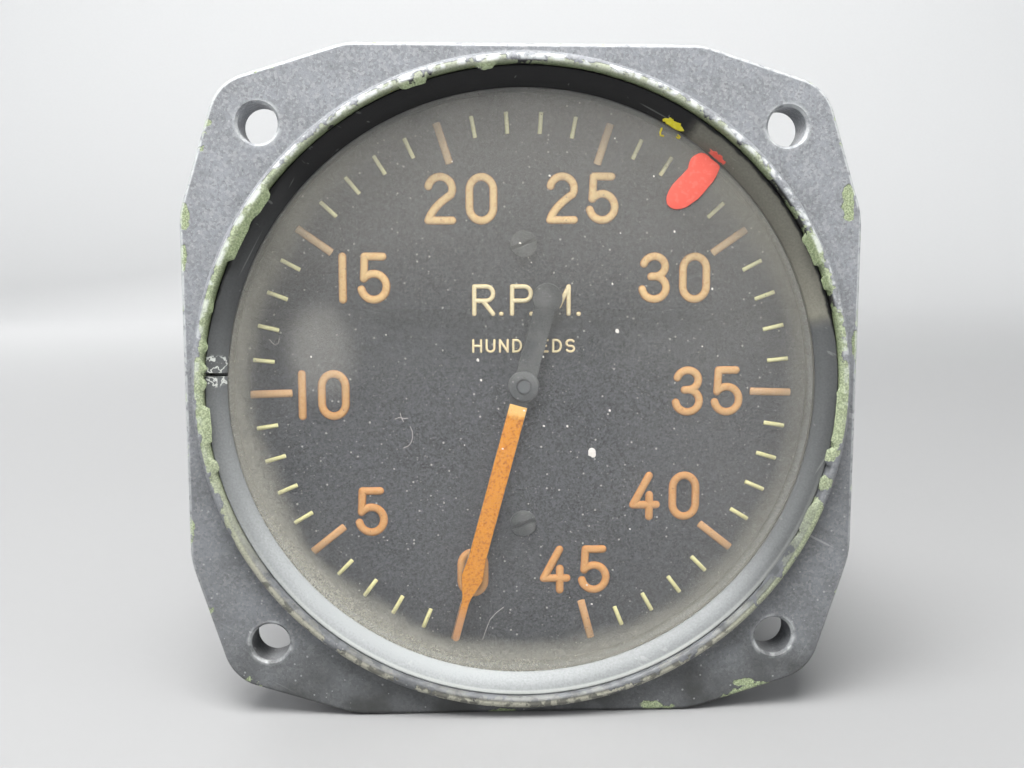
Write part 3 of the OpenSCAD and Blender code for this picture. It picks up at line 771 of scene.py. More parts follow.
    def turned(self, name: str) -> Tree:
        """Rings that a lathe's tool leaves round the axis."""
        g, (rings,), out = self.start(name, {"Rings": 6}, ("Value",))
        x, y, z = g.parts()
        node = g.add("ShaderNodeTexNoise", noise_dimensions="1D")
        g.feed(node.inputs["W"], (g.length(x, z) + y) * rings)
        node.inputs["Detail"].default_value = 3
        return self.close(g, out, Value=g.out(node))

    def peeling(self, name: str) -> Tree:
        """Short crooked lines where paint has begun to lift, and small pits."""
        g, (scale,), out = self.start(name, {"Scale": 0.3}, ("Lines", "Pits"))
        near = abs(g.noise(scale, 5) - 0.5)
        here = g.step(g.noise(scale * 0.35, 2), 0.54, 0.6)
        lines = g.step(near, 0.016, 0.005) * here
        pits = g.step(g.noise(scale * 9.0, 3), 0.63, 0.7)
        return self.close(g, out, Lines=lines, Pits=pits)

    def clock(self, name: str) -> Tree:
        """Clock angle in degrees, and radius."""
        g, _, out = self.start(name, {}, ("Angle", "Radius"))
        x, _, z = g.parts()
        angle = g.math("DEGREES", g.math("ARCTAN2", x, z)) % 360.0
        return self.close(g, out, Angle=angle, Radius=g.length(x, z))


EFFECTS = Effects()


class Skin:
    """The Principled shader of one material."""

    def __init__(self, graph: Graph, node: Node) -> None:
        """Keeps the shader and the graph that it belongs to."""
        self.graph, self.node = graph, node

    def __setitem__(self, name: str, value: object) -> None:
        """Links or sets one of the shader's inputs."""
        self.graph.feed(self.node.inputs[name], value)


class Finish:
    """A finish that can be put on pieces. Its material is made on first use."""

    name: str

    def material(self) -> bpy.types.Material:
        """Gives the material, made on first use.

        Returns:
            The material.
        """
        known = bpy.data.materials.get(self.name)
        if known is not None:
            return known
        made = bpy.data.materials.new(self.name)
        made.use_nodes = True
        graph = Graph(made.node_tree)
        self.draw(graph, Skin(graph, made.node_tree.nodes["Principled BSDF"]))
        return made

    def draw(self, g: Graph, skin: Skin) -> None:
        """Draws the finish into a new material.

        Args:
            g: Graph of the material.
            skin: Its Principled shader.
        """
        raise NotImplementedError


class EdgeKind(Enum):
    """Which edges of a painted piece are worn."""

    FLANGE = "flange"
    BODY = "body"
    COVER = "cover"


@dataclass(frozen=True)
class CasePaint(Finish):
    """Satin grey paint, chipped to primer and bare metal along its edges.

    A pair of radii or heights says where a change begins and where it is complete.
    The crest's middle and the cover's edge are each a radius and a depth.
    """

    name: str
    edge: EdgeKind
    paint: Colour = shade(126, 129, 134)
    stain: Colour = shade(104, 106, 109)
    # Dark dirt colour, also used for the painted shade low down.
    grime: Colour = shade(48, 49, 48)
    primer: Colour = shade(112, 124, 92)
    primer_pale: Colour = shade(156, 166, 134)
    olive: Colour = shade(76, 88, 56)
    bleached: Colour = shade(170, 172, 160)
    beige: Colour = shade(150, 148, 136)
    metal: Colour = shade(206, 209, 209)
    dusty: Colour = shade(164, 165, 165)
    black: Colour = (0.011, 0.011, 0.011)
    wall_film: Colour = shade(158, 162, 167)
    wall_edge: Flat = (38.75, 38.45)
    sheltered: Flat = (38.6, 38.2)
    olive_edge: Flat = (38.8, 38.4)
    bare_edge: Flat = (38.95, 38.65)
    # Radii of the bare-metal line on the crest's top, partly a painted highlight.
    metal_edge: Flat = (38.5, 38.85)
    low_part: Flat = (-8.0, -24.0)
    crest_middle: Flat = (38.25, 1.6)
    barrel_end: float = 92.4
    cover_edge: Flat = (38.3, 95.4)
    patches: tuple[tuple[float, float, float, float], ...] = (
        (39.1, 22.6, 0.75, 2.4), (-40.3, 20.6, 0.6, 1.7), (-40.5, 15.8, 0.45, 1.4),
        (27.6, -37.4, 1.5, 0.5), (15.9, -40.2, 1.4, 0.6), (40.5, 5.5, 0.4, 1.8),
    )
    crest_cover: tuple[Flat, ...] = (
        (0, 0.56), (44, 0.56), (48, 0.42), (60, 0.38), (61.5, 0.62), (67, 0.62), (68, 0.4),
        (69.2, 0.62), (72, 0.62), (73, 0.36), (77, 0.5), (90, 0.62), (99.6, 0.66), (100.4, 0.3),
        (101.2, 0.66), (103.6, 0.66), (104.4, 0.28), (105.8, 0.28), (106.4, 0.62), (108.8, 0.62),
        (109.5, 0.28), (110.6, 0.28), (111.4, 0.62), (134, 0.62), (142, 0.58), (205, 0.56),
        (250, 0.56), (258, 0.64), (308, 0.64), (316, 0.54), (360, 0.56),
    )
    crest_fade: tuple[Flat, ...] = (
        (0, 0.7), (40, 0.5), (60, 0.1), (110, 0.15), (130, 0.5), (142, 0.95), (235, 0.95),
        (250, 0.4), (262, 0.1), (300, 0.12), (322, 0.5), (360, 0.7),
    )
    wall_cover: tuple[Flat, ...] = (
        (0, 0), (76, 0), (80, 0.25), (122, 0.26), (140, 0.3), (236, 0.28), (250, 0.26),
        (268, 0.16), (285, 0), (360, 0),
    )

    def coat(self, g: Graph) -> Wire:
        """Draws the paint with its stains, scratches and dark specks, and a painted shade that
        darkens its lower part.

        Args:
            g: Graph of the material.

        Returns:
            The colour.
        """
        _, _, z = g.parts()
        grain = g.effect(Effect.GRAIN, scale=6.0)
        dust = g.effect(Effect.DUST, scale=0.16, specks=1.3)
        light = g.effect(Effect.SCRATCHES, scale=0.8)["Mask"]
        dark = g.effect(Effect.SCRATCHES, scale=0.55)["Mask"]
        hue = g.mix(grain["Broad"] * 0.5, self.paint, self.stain)
        hue = g.mix(g.step(grain["Fine"], 0.5, 0.72) * 0.35, hue, self.dusty)
        hue = g.mix(dark * 0.25, hue, self.grime)
        grit = g.effect(Effect.GRAIN, scale=3.4)["Speckle"]
        hue = g.mix(g.step(grit, 0.4, 0.0) * 0.22, hue, self.grime)
        hue = g.mix(g.step(grit, 0.6, 1.0) * 0.3, hue, self.dusty)
        peel = g.effect(Effect.PEELING, scale=0.34)
        hue = g.mix(peel["Pits"] * 0.4, hue, self.grime)
        hue = g.mix(peel["Lines"] * 0.22, hue, self.grime)
        # Painted shade: the paint darkens towards the bottom in two steps, where less light falls.
        low = g.step(z, 24.0, -22.0) * 0.46 + g.step(z, -27.0, -41.0) * 0.44
        hue = g.mix(low * (0.75 + dust["Film"] * 0.35), hue, self.grime)
        marks = g.most(light * 0.4, dust["Specks"] * 0.45)
        return g.mix(marks, hue, self.dusty)

    def flange_wear(self, g: Graph) -> tuple[Wire, Wire]:
        """Finds chips and worn lines along the flange's edges and round its holes; the bare-metal
        line along the outer edge fades out downwards and is partly a painted highlight.

        Args:
            g: Graph of the material.

        Returns:
            Share of primer and share of bare metal.
        """
        x, _, z = g.parts()
        edges = g.effect(Effect.FLANGE_EDGE, thickness=FLANGE.thick)
        chips = g.effect(Effect.CHIPS, distance=edges["Outer"], reach=1.5, scale=0.2, amount=0.38)
        primer = chips["Primer"]
        stray = (g.noise(0.9, 5) - 0.5) * 1.8
        for px, pz, wide, high in self.patches:
            away = g.length((x - px) / wide, (z - pz) / high) + stray
            primer = g.most(primer, g.step(away, 1.05, 0.9))
        rough = g.step(g.noise(1.1, 4), 0.3, 0.52)
        # Bare metal along the outer edge, kept to the upper part: a worn edge with a painted
        # highlight where the light catches it.
        line = g.step(edges["Outer"], 0.5, 0.3) * rough * g.step(z, -44.0, 12.0)
        ring = g.step(edges["Hole"], 0.75, 0.1) * g.step(g.noise(0.7, 5), 0.36, 0.64)
        return primer, g.most(ring * 0.5, line * 0.45)

    def body_wear(self, g: Graph) -> tuple[Wire, Wire]:
        """Finds chips on the rim's crest and the barrel's rear edge, and a thin bare-metal line on
        the crest's top that is partly a painted highlight.

        Args:
            g: Graph of the material.

        Returns:
            Share of primer and share of bare metal.
        """
        _, y, z = g.parts()
        place = g.effect(Effect.CLOCK)
        low = g.step(z, *self.low_part)
        middle, depth = self.crest_middle
        outward = place["Radius"] - (middle + low * 0.95)
        crest = g.length(g.most(outward, outward * -1.0 * low), (y + depth) * 0.8)
        amount = g.ramp(place["Angle"], self.crest_cover)
        chips = g.effect(Effect.CHIPS, distance=crest, reach=1.05, scale=0.34, amount=amount)
        behind = self.barrel_end - y
        rear = g.effect(Effect.CHIPS, distance=behind, reach=1.2, scale=0.4, amount=0.5)
        # Painted highlight: a thin bare-metal line on the crest's top, kept to the upper part where
        # the light falls.
        top = g.step(y + 1.9, 0.2, 0.04) * g.step(g.noise(0.9, 5), 0.45, 0.6)
        top = top * g.step(z, -20.0, 38.0) * g.step(place["Radius"], *self.metal_edge)
        metal = g.most(top * 0.85, rear["Metal"])
        return g.most(chips["Primer"], rear["Primer"]), metal

    def wall(self, g: Graph) -> Wire:
        """Draws the black wall inside the rim and, on its lower part, a pale film of dust with a
        painted reflection that carries on from the ring.

        Args:
            g: Graph of the material.

        Returns:
            The colour.
        """
        angle = g.effect(Effect.CLOCK)["Angle"]
        torn = 0.7 + g.step(g.noise(0.6, 5), 0.4, 0.56) * 0.4
        # Painted reflection over thin dust: the wall turns pale low down, where light falls on it.
        film = g.ramp(angle, self.wall_cover) * torn
        return g.mix(film, self.black, self.wall_film)

    def cover_wear(self, g: Graph) -> tuple[Wire, Wire]:
        """Finds chips round the rear cover.

        Args:
            g: Graph of the material.

        Returns:
            Share of primer and share of bare metal.
        """
        x, y, z = g.parts()
        rim, face = self.cover_edge
        away = g.most(rim - g.length(x, z), face - y)
        chips = g.effect(Effect.CHIPS, distance=away, reach=0.9, scale=0.5, amount=0.48)
        return chips["Primer"], chips["Metal"]

    def draw(self, g: Graph, skin: Skin) -> None:
        """Draws paint, primer and bare metal."""
        hue = self.coat(g)
        grain = g.effect(Effect.GRAIN, scale=5.0)
        fine = grain["Fine"]
        pale = g.mix(g.step(fine, 0.4, 0.62), self.primer, self.primer_pale)
        if self.edge is EdgeKind.FLANGE:
            primer, metal = self.flange_wear(g)
        elif self.edge is EdgeKind.BODY:
            primer, metal = self.body_wear(g)
            _, y, z = g.parts()
            place = g.effect(Effect.CLOCK)
            inside = g.step(place["Radius"], *self.wall_edge) * g.step(y, 3.0, 2.0)
            hue = g.mix(inside, hue, self.wall(g))
            aged = g.ramp(place["Angle"], self.crest_fade) * g.step(y, 2.0, 1.0)
            # Painted shade: in the upper half, the crest's inner side faces down, away from the
            # light, so it gets less of the pale paint and a darker primer.
            kept = g.step(place["Radius"], *self.sheltered) * g.step(z, -8.0, 8.0)
            aged = aged * (1.0 - kept * 0.85)
            # Worn pale paint, a lighter copy at the top and a darker copy low down: the difference
            # between them is painted light and shade.
            pale = g.mix(aged, pale, g.mix(g.step(z, -14.0, 10.0), self.beige, self.bleached))
            under = g.step(place["Radius"], *self.olive_edge) * g.step(z, -2.0, 10.0)
            pale = g.mix(under * 0.55, pale, self.olive)
            shy = g.step(place["Radius"], *self.bare_edge) * g.step(z, *self.low_part)
            primer = primer * (1.0 - shy * 0.8)
            dark = g.step(g.noise(0.8, 5), 0.52, 0.6) * 0.7
            pale = g.mix(dark * g.step(aged, 0.75, 0.95), pale, self.grime)
        else:
            primer, metal = self.cover_wear(g)
        pale = g.mix(g.step(grain["Speckle"], 0.3, 0.0) * 0.3, pale, self.grime)
        hue = g.mix(primer, hue, pale)
        skin["Base Color"] = g.mix(metal, hue, self.metal)
        skin["Metallic"] = metal * 0.3
        skin["Roughness"] = 0.42 + fine * 0.2
        skin["Normal"] = g.bump(fine * 0.3 - primer * 0.8, 0.12)


@dataclass(frozen=True)
class RingEnamel(Finish):
    """Black enamel under a film that follows the clock: pale dust with a painted reflection,
    brightest at the bottom and missing at the top.

    A pair of radii or angles says where a change begins and where it is complete.
    """

    name: str = "ring_enamel_dust_and_sheen"
    enamel: Colour = (0.008, 0.008, 0.0085)
    # Pale film of dust with a painted reflection of the light above.
    film: Colour = shade(146, 149, 150)
    warm: Colour = shade(142, 140, 128)
    # Pale scraped colour for scratches and the split, also the painted highlight along the ring's
    # outer edge.
    scraped: Colour = shade(196, 199, 194)
    film_edge: Flat = (37.75, 37.45)
    slope: Flat = (37.9, 36.3)
    lip: Flat = (37.55, 37.8)
    right_end: Flat = (79.0, 76.0)
    split: float = 273.6
    # Share of film at each clock angle: most at the bottom and none at the top, as a painted
    # reflection.
    cover: tuple[Flat, ...] = (
        (0, 0), (32, 0), (33.5, 0.42), (60, 0.44), (76.6, 0.64), (77.6, 0.24), (100, 0.24),
        (122, 0.32), (138, 0.64), (165, 0.72), (185, 0.9), (198, 1), (225, 1), (238, 0.86),
        (250, 0.66), (265, 0.5), (285, 0.22), (300, 0.1), (315, 0), (360, 0),
    )
    mouth: tuple[Flat, ...] = ((0, 0.5), (77, 0.5), (82, 1), (275, 1), (300, 0.3), (360, 0.5))
    glint: tuple[Flat, ...] = (
        (0, 0), (100, 0), (135, 0.5), (150, 1), (178, 0.8), (215, 0.9), (235, 0.3), (250, 0),
        (360, 0),
    )

    def draw(self, g: Graph, skin: Skin) -> None:
        """Draws the enamel and the film of dust and painted reflection on its lower and right
        sides.
        """
        place = g.effect(Effect.CLOCK)
        grain = g.effect(Effect.GRAIN, scale=4.0)
        marks = g.effect(Effect.SCRATCHES, scale=1.0)["Mask"]
        wobble = (g.noise(0.5, 4) - 0.5) * 3.0
        # Painted reflection: over thin dust, the pale film brightens the ring's face low down,
        # where the light falls.
        film = g.ramp(place["Angle"] + wobble, self.cover)
        edge = place["Radius"] + g.noise(0.8, 3) * 0.5
        edge = edge - g.ramp(place["Angle"], self.mouth) * 0.9
        film = film * g.step(edge, *self.film_edge) * (0.7 + grain["Fine"] * 0.6)
        film = film * (0.85 + g.step(place["Radius"], *self.slope) * 0.22)
        right = g.step(place["Angle"], *self.right_end)
        hue = g.mix(film, self.enamel, g.mix(right, self.film, self.warm))
        away = abs(place["Angle"] - self.split)
        level = abs(g.noise(1.1, 4) - 0.5)
        worn = g.step(away, 3.2, 2.4) * g.step(level, 0.045, 0.025)
        line = g.most(marks * 0.12, worn)
        # Painted highlight: a pale line along the ring's outer edge on its lower part, where the
        # light catches it.
        lip = g.step(place["Radius"], *self.lip) * g.ramp(place["Angle"], self.glint)
        line = g.most(line, lip * 0.4)
        skin["Base Color"] = g.mix(line, hue, self.scraped)
        skin["Roughness"] = 0.26 + grain["Fine"] * 0.16 + film * 0.3
        skin["Normal"] = g.bump(grain["Fine"], 0.03)
        skin["Specular IOR Level"] = 0.25


@dataclass(frozen=True)
class ClearGlass(Finish):
    """Flat clear glass that lets light through to the dial."""

    name: str = "cover_glass_clear"
    tint: Colour = (0.96, 0.975, 0.97)

    def draw(self, g: Graph, skin: Skin) -> None:
        """Draws glass, with a faint ripple, and lets light rays pass."""
        skin["Base Color"] = self.tint
        skin["Transmission Weight"] = 1
        skin["Roughness"] = 0
        skin["IOR"] = 1.5
        ripple = g.effect(Effect.GRAIN, scale=0.05)
        skin["Normal"] = g.bump(ripple["Fine"], 0.004)
        path = g.add("ShaderNodeLightPath")
        clear = g.add("ShaderNodeBsdfTransparent")
        clear.inputs[0].default_value = (*self.tint, 1)
        blend = g.add("ShaderNodeMixShader")
        g.feed(blend.inputs[0], g.out(path, "Is Shadow Ray"))
        g.feed(blend.inputs[1], g.out(skin.node))
        g.feed(blend.inputs[2], g.out(clear))
        g.feed(g.tree.nodes["Material Output"].inputs["Surface"], g.out(blend))


@dataclass(frozen=True)
class GlassFilm(Finish):
    """Thin dust and a smear on the glass, thick where it meets the ring.

    The smear lies so far to the left of the middle, and so far above it.
    """

    name: str = "glass_dust_film"
    dirt: Colour = shade(178, 176, 170)
    band: Colour = shade(168, 166, 156)
    thick: Flat = (30.6, 35.0)
    smear: Flat = (24.6, 4.6)
    haze_up: Flat = (-6.0, 34.0)
    haze_across: Flat = (4.0, 30.0)
    cover: tuple[Flat, ...] = (
        (0, 0.02), (30, 0.04), (45, 0.12), (100, 0.14), (140, 0.3), (180, 0.46), (225, 0.56),
        (270, 0.28), (300, 0.16), (330, 0.04), (360, 0.02),
    )

    def draw(self, g: Graph, skin: Skin) -> None:
        """Draws the film as a mostly clear skin."""
        x, _, z = g.parts()
        place = g.effect(Effect.CLOCK)
        dust = g.effect(Effect.DUST, scale=0.07, specks=2.0)
        grit = g.effect(Effect.GRAIN, scale=5.6)["Speckle"]
        marks = g.effect(Effect.SCRATCHES, scale=1.1)["Mask"]
        edge = g.step(place["Radius"], self.thick[0] + dust["Film"] * 1.6, self.thick[1])
        edge = edge * g.ramp(place["Angle"], self.cover) * (0.5 + grit * 0.65)
        away = g.length(x + self.smear[0], (z - self.smear[1]) * 0.7) + g.noise(0.25, 3) * 2.0
        smear = g.step(away, 6.6, 2.6) * 0.11
        cover = 0.004 + dust["Film"] * 0.01
        haze = g.step(z, *self.haze_up) * 0.12 + g.step(x, *self.haze_across) * 0.03
        specks = dust["Specks"] * 0.24
        for more in (specks, marks * 0.02, smear, haze):
            cover = cover + more
        skin["Base Color"] = g.mix(g.step(edge, 0.0, 0.1), self.dirt, self.band)
        skin["Alpha"] = cover + edge
        skin["Roughness"] = 0.9
        skin["Specular IOR Level"] = 0.1


@dataclass(frozen=True)
class DialPaint(Finish):
    """Matte charcoal paint with fine dust specks."""

    name: str = "dial_charcoal"
    paint: Colour = shade(31, 32, 35)
    worn: Colour = shade(71, 71, 75)
    speck: Colour = shade(182, 179, 172)

    def draw(self, g: Graph, skin: Skin) -> None:
        """Draws the paint, its mottling and the dust on it."""
        grain = g.effect(Effect.GRAIN, scale=4.6)
        dust = g.effect(Effect.DUST, scale=0.12, specks=1.3)
        small = g.effect(Effect.DUST, scale=0.12, specks=2.4)
        hue = g.mix(grain["Speckle"], self.paint, self.worn)
        hue = g.mix(dust["Film"] * 0.2, hue, self.worn)
        specks = g.most(dust["Specks"] * 0.55, small["Specks"] * 0.4)
        skin["Base Color"] = g.mix(specks, hue, self.speck)
        skin["Roughness"] = 0.62 + specks * 0.3
        skin["Normal"] = g.bump(grain["Speckle"], 0.006)
        skin["Specular IOR Level"] = 0.3


@dataclass(frozen=True)
class RaisedPaint(Finish):
    """Thick paint that is paler on its crown than along its foot, partly as a painted highlight and
    a painted shade.
    """

    name: str
    crown: Colour
    foot: Colour
    fleck: Colour
    face: float
    rise: float
    flecks: float = 0.35
    grain_scale: float = 2.2
    rough: float = 0.55
    deep: float = 0.0
    deep_over: Flat = (30.0, -14.0)

    def fade(self, g: Graph, hue: Wire) -> Wire:
        """Deepens the paint towards the foot of the dial.

        Args:
            g: Graph of the material.
            hue: The paint's colour.

        Returns:
            The colour, deeper low down.
        """
        if not self.deep:
            return hue
        _, _, z = g.parts()
        return g.mix(g.step(z, *self.deep_over) * self.deep, hue, self.foot)

    def draw(self, g: Graph, skin: Skin) -> None:
        """Draws the paint by its height above the face."""
        _, y, _ = g.parts()
        grain = g.effect(Effect.GRAIN, scale=self.grain_scale)
        up = (self.face - y) / self.rise + (grain["Fine"] - 0.5) * 0.8
        # Painted light: the crown takes the pale colour and the foot the dark one, by height above
        # the face.
        hue = g.mix(g.step(up, 0.1, 0.95), self.foot, self.crown)
        spots = g.step(grain["Fine"], 0.52, 0.62)
        hue = g.mix(spots * self.flecks, hue, self.fleck)
        skin["Base Color"] = self.fade(g, hue)
        skin["Roughness"] = self.rough - 0.15 + grain["Fine"] * 0.3
        skin["Normal"] = g.bump(grain["Fine"], 0.05)
        skin["Specular IOR Level"] = 0.25


@dataclass(frozen=True)
class PointerPaint(RaisedPaint):
    """Orange pointer paint that has gone pale on the needle, with a painted highlight near the hub.
    """

    root: Flat = (4.9, 4.0)
    needle: Flat = (28.6, 31.8)
    # Cream of the painted highlight near the hub.
    cream: Colour = shade(212, 170, 104)
    tan: Colour = shade(160, 116, 82)

    def fade(self, g: Graph, hue: Wire) -> Wire:
        """Mixes in the pale needle and the painted highlight near the hub by the distance from the
        axis.

        Args:
            g: Graph of the material.
            hue: The paint's colour.

        Returns:
            The colour with its pale ends.
        """
        radius = g.effect(Effect.CLOCK)["Radius"]
        ragged = radius + g.noise(1.6, 3) * 1.2
        # Painted highlight: the paint's inner end near the hub turns cream.
        near = g.step(ragged, *self.root) * 0.75
        far = g.step(ragged, *self.needle) * 0.85
        return g.mix(far, g.mix(near, hue, self.cream), self.tan)


@dataclass(frozen=True)
class DarkPaint(Finish):
    """Dull dark paint with dust, on the pointer's tail, hub and screws."""

    name: str
    paint: Colour
    dusty: Colour = shade(150, 148, 146)
    rough: float = 0.5

    def draw(self, g: Graph, skin: Skin) -> None:
        """Draws the paint and a little dust."""
        grain = g.effect(Effect.GRAIN, scale=4.0)
        dust = g.effect(Effect.DUST, scale=0.3, specks=1.5)
        film = g.most(dust["Film"] * 0.2, dust["Specks"] * 0.6)
        skin["Base Color"] = g.mix(film, self.paint, self.dusty)
        skin["Roughness"] = self.rough - 0.12 + grain["Fine"] * 0.25
        skin["Normal"] = g.bump(grain["Fine"], 0.04)


@dataclass(frozen=True)
class Metal(Finish):
    """Bare metal with tool rings, tarnish and fine scratches."""

    name: str
    colour: Colour
    tarnish: Colour
    rough: float = 0.34
    rings: float = 4.0
    dull: float = 0.5
    metallic: float = 1.0

    def draw(self, g: Graph, skin: Skin) -> None:
        """Draws the metal."""
        grain = g.effect(Effect.GRAIN, scale=3.0)
        rings = g.effect(Effect.TURNED, rings=self.rings)
        marks = g.effect(Effect.SCRATCHES, scale=1.6)
        aged = grain["Broad"] * self.dull
        skin["Base Color"] = g.mix(aged, self.colour, self.tarnish)
        skin["Roughness"] = self.rough - 0.1 + rings["Value"] * 0.2 + aged * 0.15
        skin["Normal"] = g.bump(rings["Value"] - marks["Mask"] * 0.5, 0.02)
        skin["Metallic"] = self.metallic


@dataclass(frozen=True)
class Moulding(Finish):
    """Rubber, sleeve, insulator or varnish: not metal, with a mottled skin."""

    name: str
    colour: Colour
    second: Colour
    rough: float = 0.6
    grain_scale: float = 4.0
    depth: float = 0.06
    dusty: Colour = shade(160, 156, 150)

    def draw(self, g: Graph, skin: Skin) -> None:
        """Draws the mottled skin with a little dust."""
        grain = g.effect(Effect.GRAIN, scale=self.grain_scale)
        dust = g.effect(Effect.DUST, scale=0.2, specks=1.0)
        hue = g.mix(grain["Fine"], self.colour, self.second)
        skin["Base Color"] = g.mix(dust["Film"] * 0.12, hue, self.dusty)
        skin["Roughness"] = self.rough - 0.1 + grain["Broad"] * 0.2
        skin["Normal"] = g.bump(grain["Fine"], self.depth)


@dataclass(frozen=True)
class StudioFloor(Finish):
    """Pale seamless floor with a barely visible tooth."""

    name: str = "studio_floor_pale"
    near: Colour = (0.25, 0.252, 0.256)
    far: Colour = (0.86, 0.865, 0.87)
    room: Colour = (0.68, 0.7, 0.735)
    tooth: Colour = (0.2, 0.2, 0.204)
    none: Colour = (0.0, 0.0, 0.0)
    paler: Flat = (150.0, 1700.0)
    lost: Flat = (1500.0, 2800.0)

    def draw(self, g: Graph, skin: Skin) -> None:
        """Draws the floor, paler where less light reaches it, and lost in the room far away."""
        radius = g.effect(Effect.CLOCK)["Radius"]
        _, y, _ = g.parts()
        away = g.length(radius, y)
        grain = g.effect(Effect.GRAIN, scale=0.4)
        soft = grain["Fine"] * 0.06
        hue = g.mix(g.step(away, *self.paler), self.near, self.far)
        hue = g.mix(soft, hue, self.tooth)
        seen = g.out(g.add("ShaderNodeLightPath"), "Is Camera Ray")
        lost = g.step(away, *self.lost) * seen
        skin["Base Color"] = g.mix(lost, hue, self.none)
        skin["Emission Color"] = g.mix(lost, self.none, self.room)
        skin["Emission Strength"] = 1.0
        skin["Roughness"] = 0.85


COVER_PAINT = CasePaint("case_paint_cover", EdgeKind.COVER)
DIAL_SCREW_BLACK = DarkPaint("dial_screw_black", shade(46, 47, 49), rough=0.42)
POINTER_BLACK = DarkPaint("pointer_black", shade(42, 43, 46))
HUB_BLACK = DarkPaint("pointer_hub_black", shade(52, 53, 56))
RECEPTACLE_METAL = Metal("receptacle_metal", (0.46, 0.46, 0.43), (0.3, 0.29, 0.23), 0.46, 5.0, 0.7)


def weigh(piece: Piece) -> Piece:
    """Keeps large flat faces flat beside rounded edges."""
    piece.modifiers.new("flat_faces", "WEIGHTED_NORMAL").keep_sharp = True
    return piece


@dataclass
class SubAssembly:
    """Pieces that are built together and then dressed."""

    pieces: dict[str, Piece] = field(default_factory=dict, init=False, repr=False)

    def build(self) -> None:
        """Builds the pieces."""
        raise NotImplementedError

    def dress(self) -> None:
        """Puts a finish on each piece and sets it on its body."""
        raise NotImplementedError

    def put(
        self, key: str, finish: Finish, slot: str, *stands_for: str, body: Body = Body.HOUSING
    ) -> None:
        """Dresses a piece, sets it on its body and reports it.

        Args:
            key: Which of the pieces.
            finish: Its finish.
            slot: The record's slot of that finish; not used.
            stands_for: CAD nodes that it stands for.
            body: The body that it rides on.
        """
        piece = self.pieces[key]
        piece.data.materials.clear()
        piece.data.materials.append(finish.material())
        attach(piece, body.value)
        if stands_for:
            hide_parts(*stands_for)
        LOG.info("%s: %d faces, %s", piece.name, len(piece.data.polygons), finish.name)


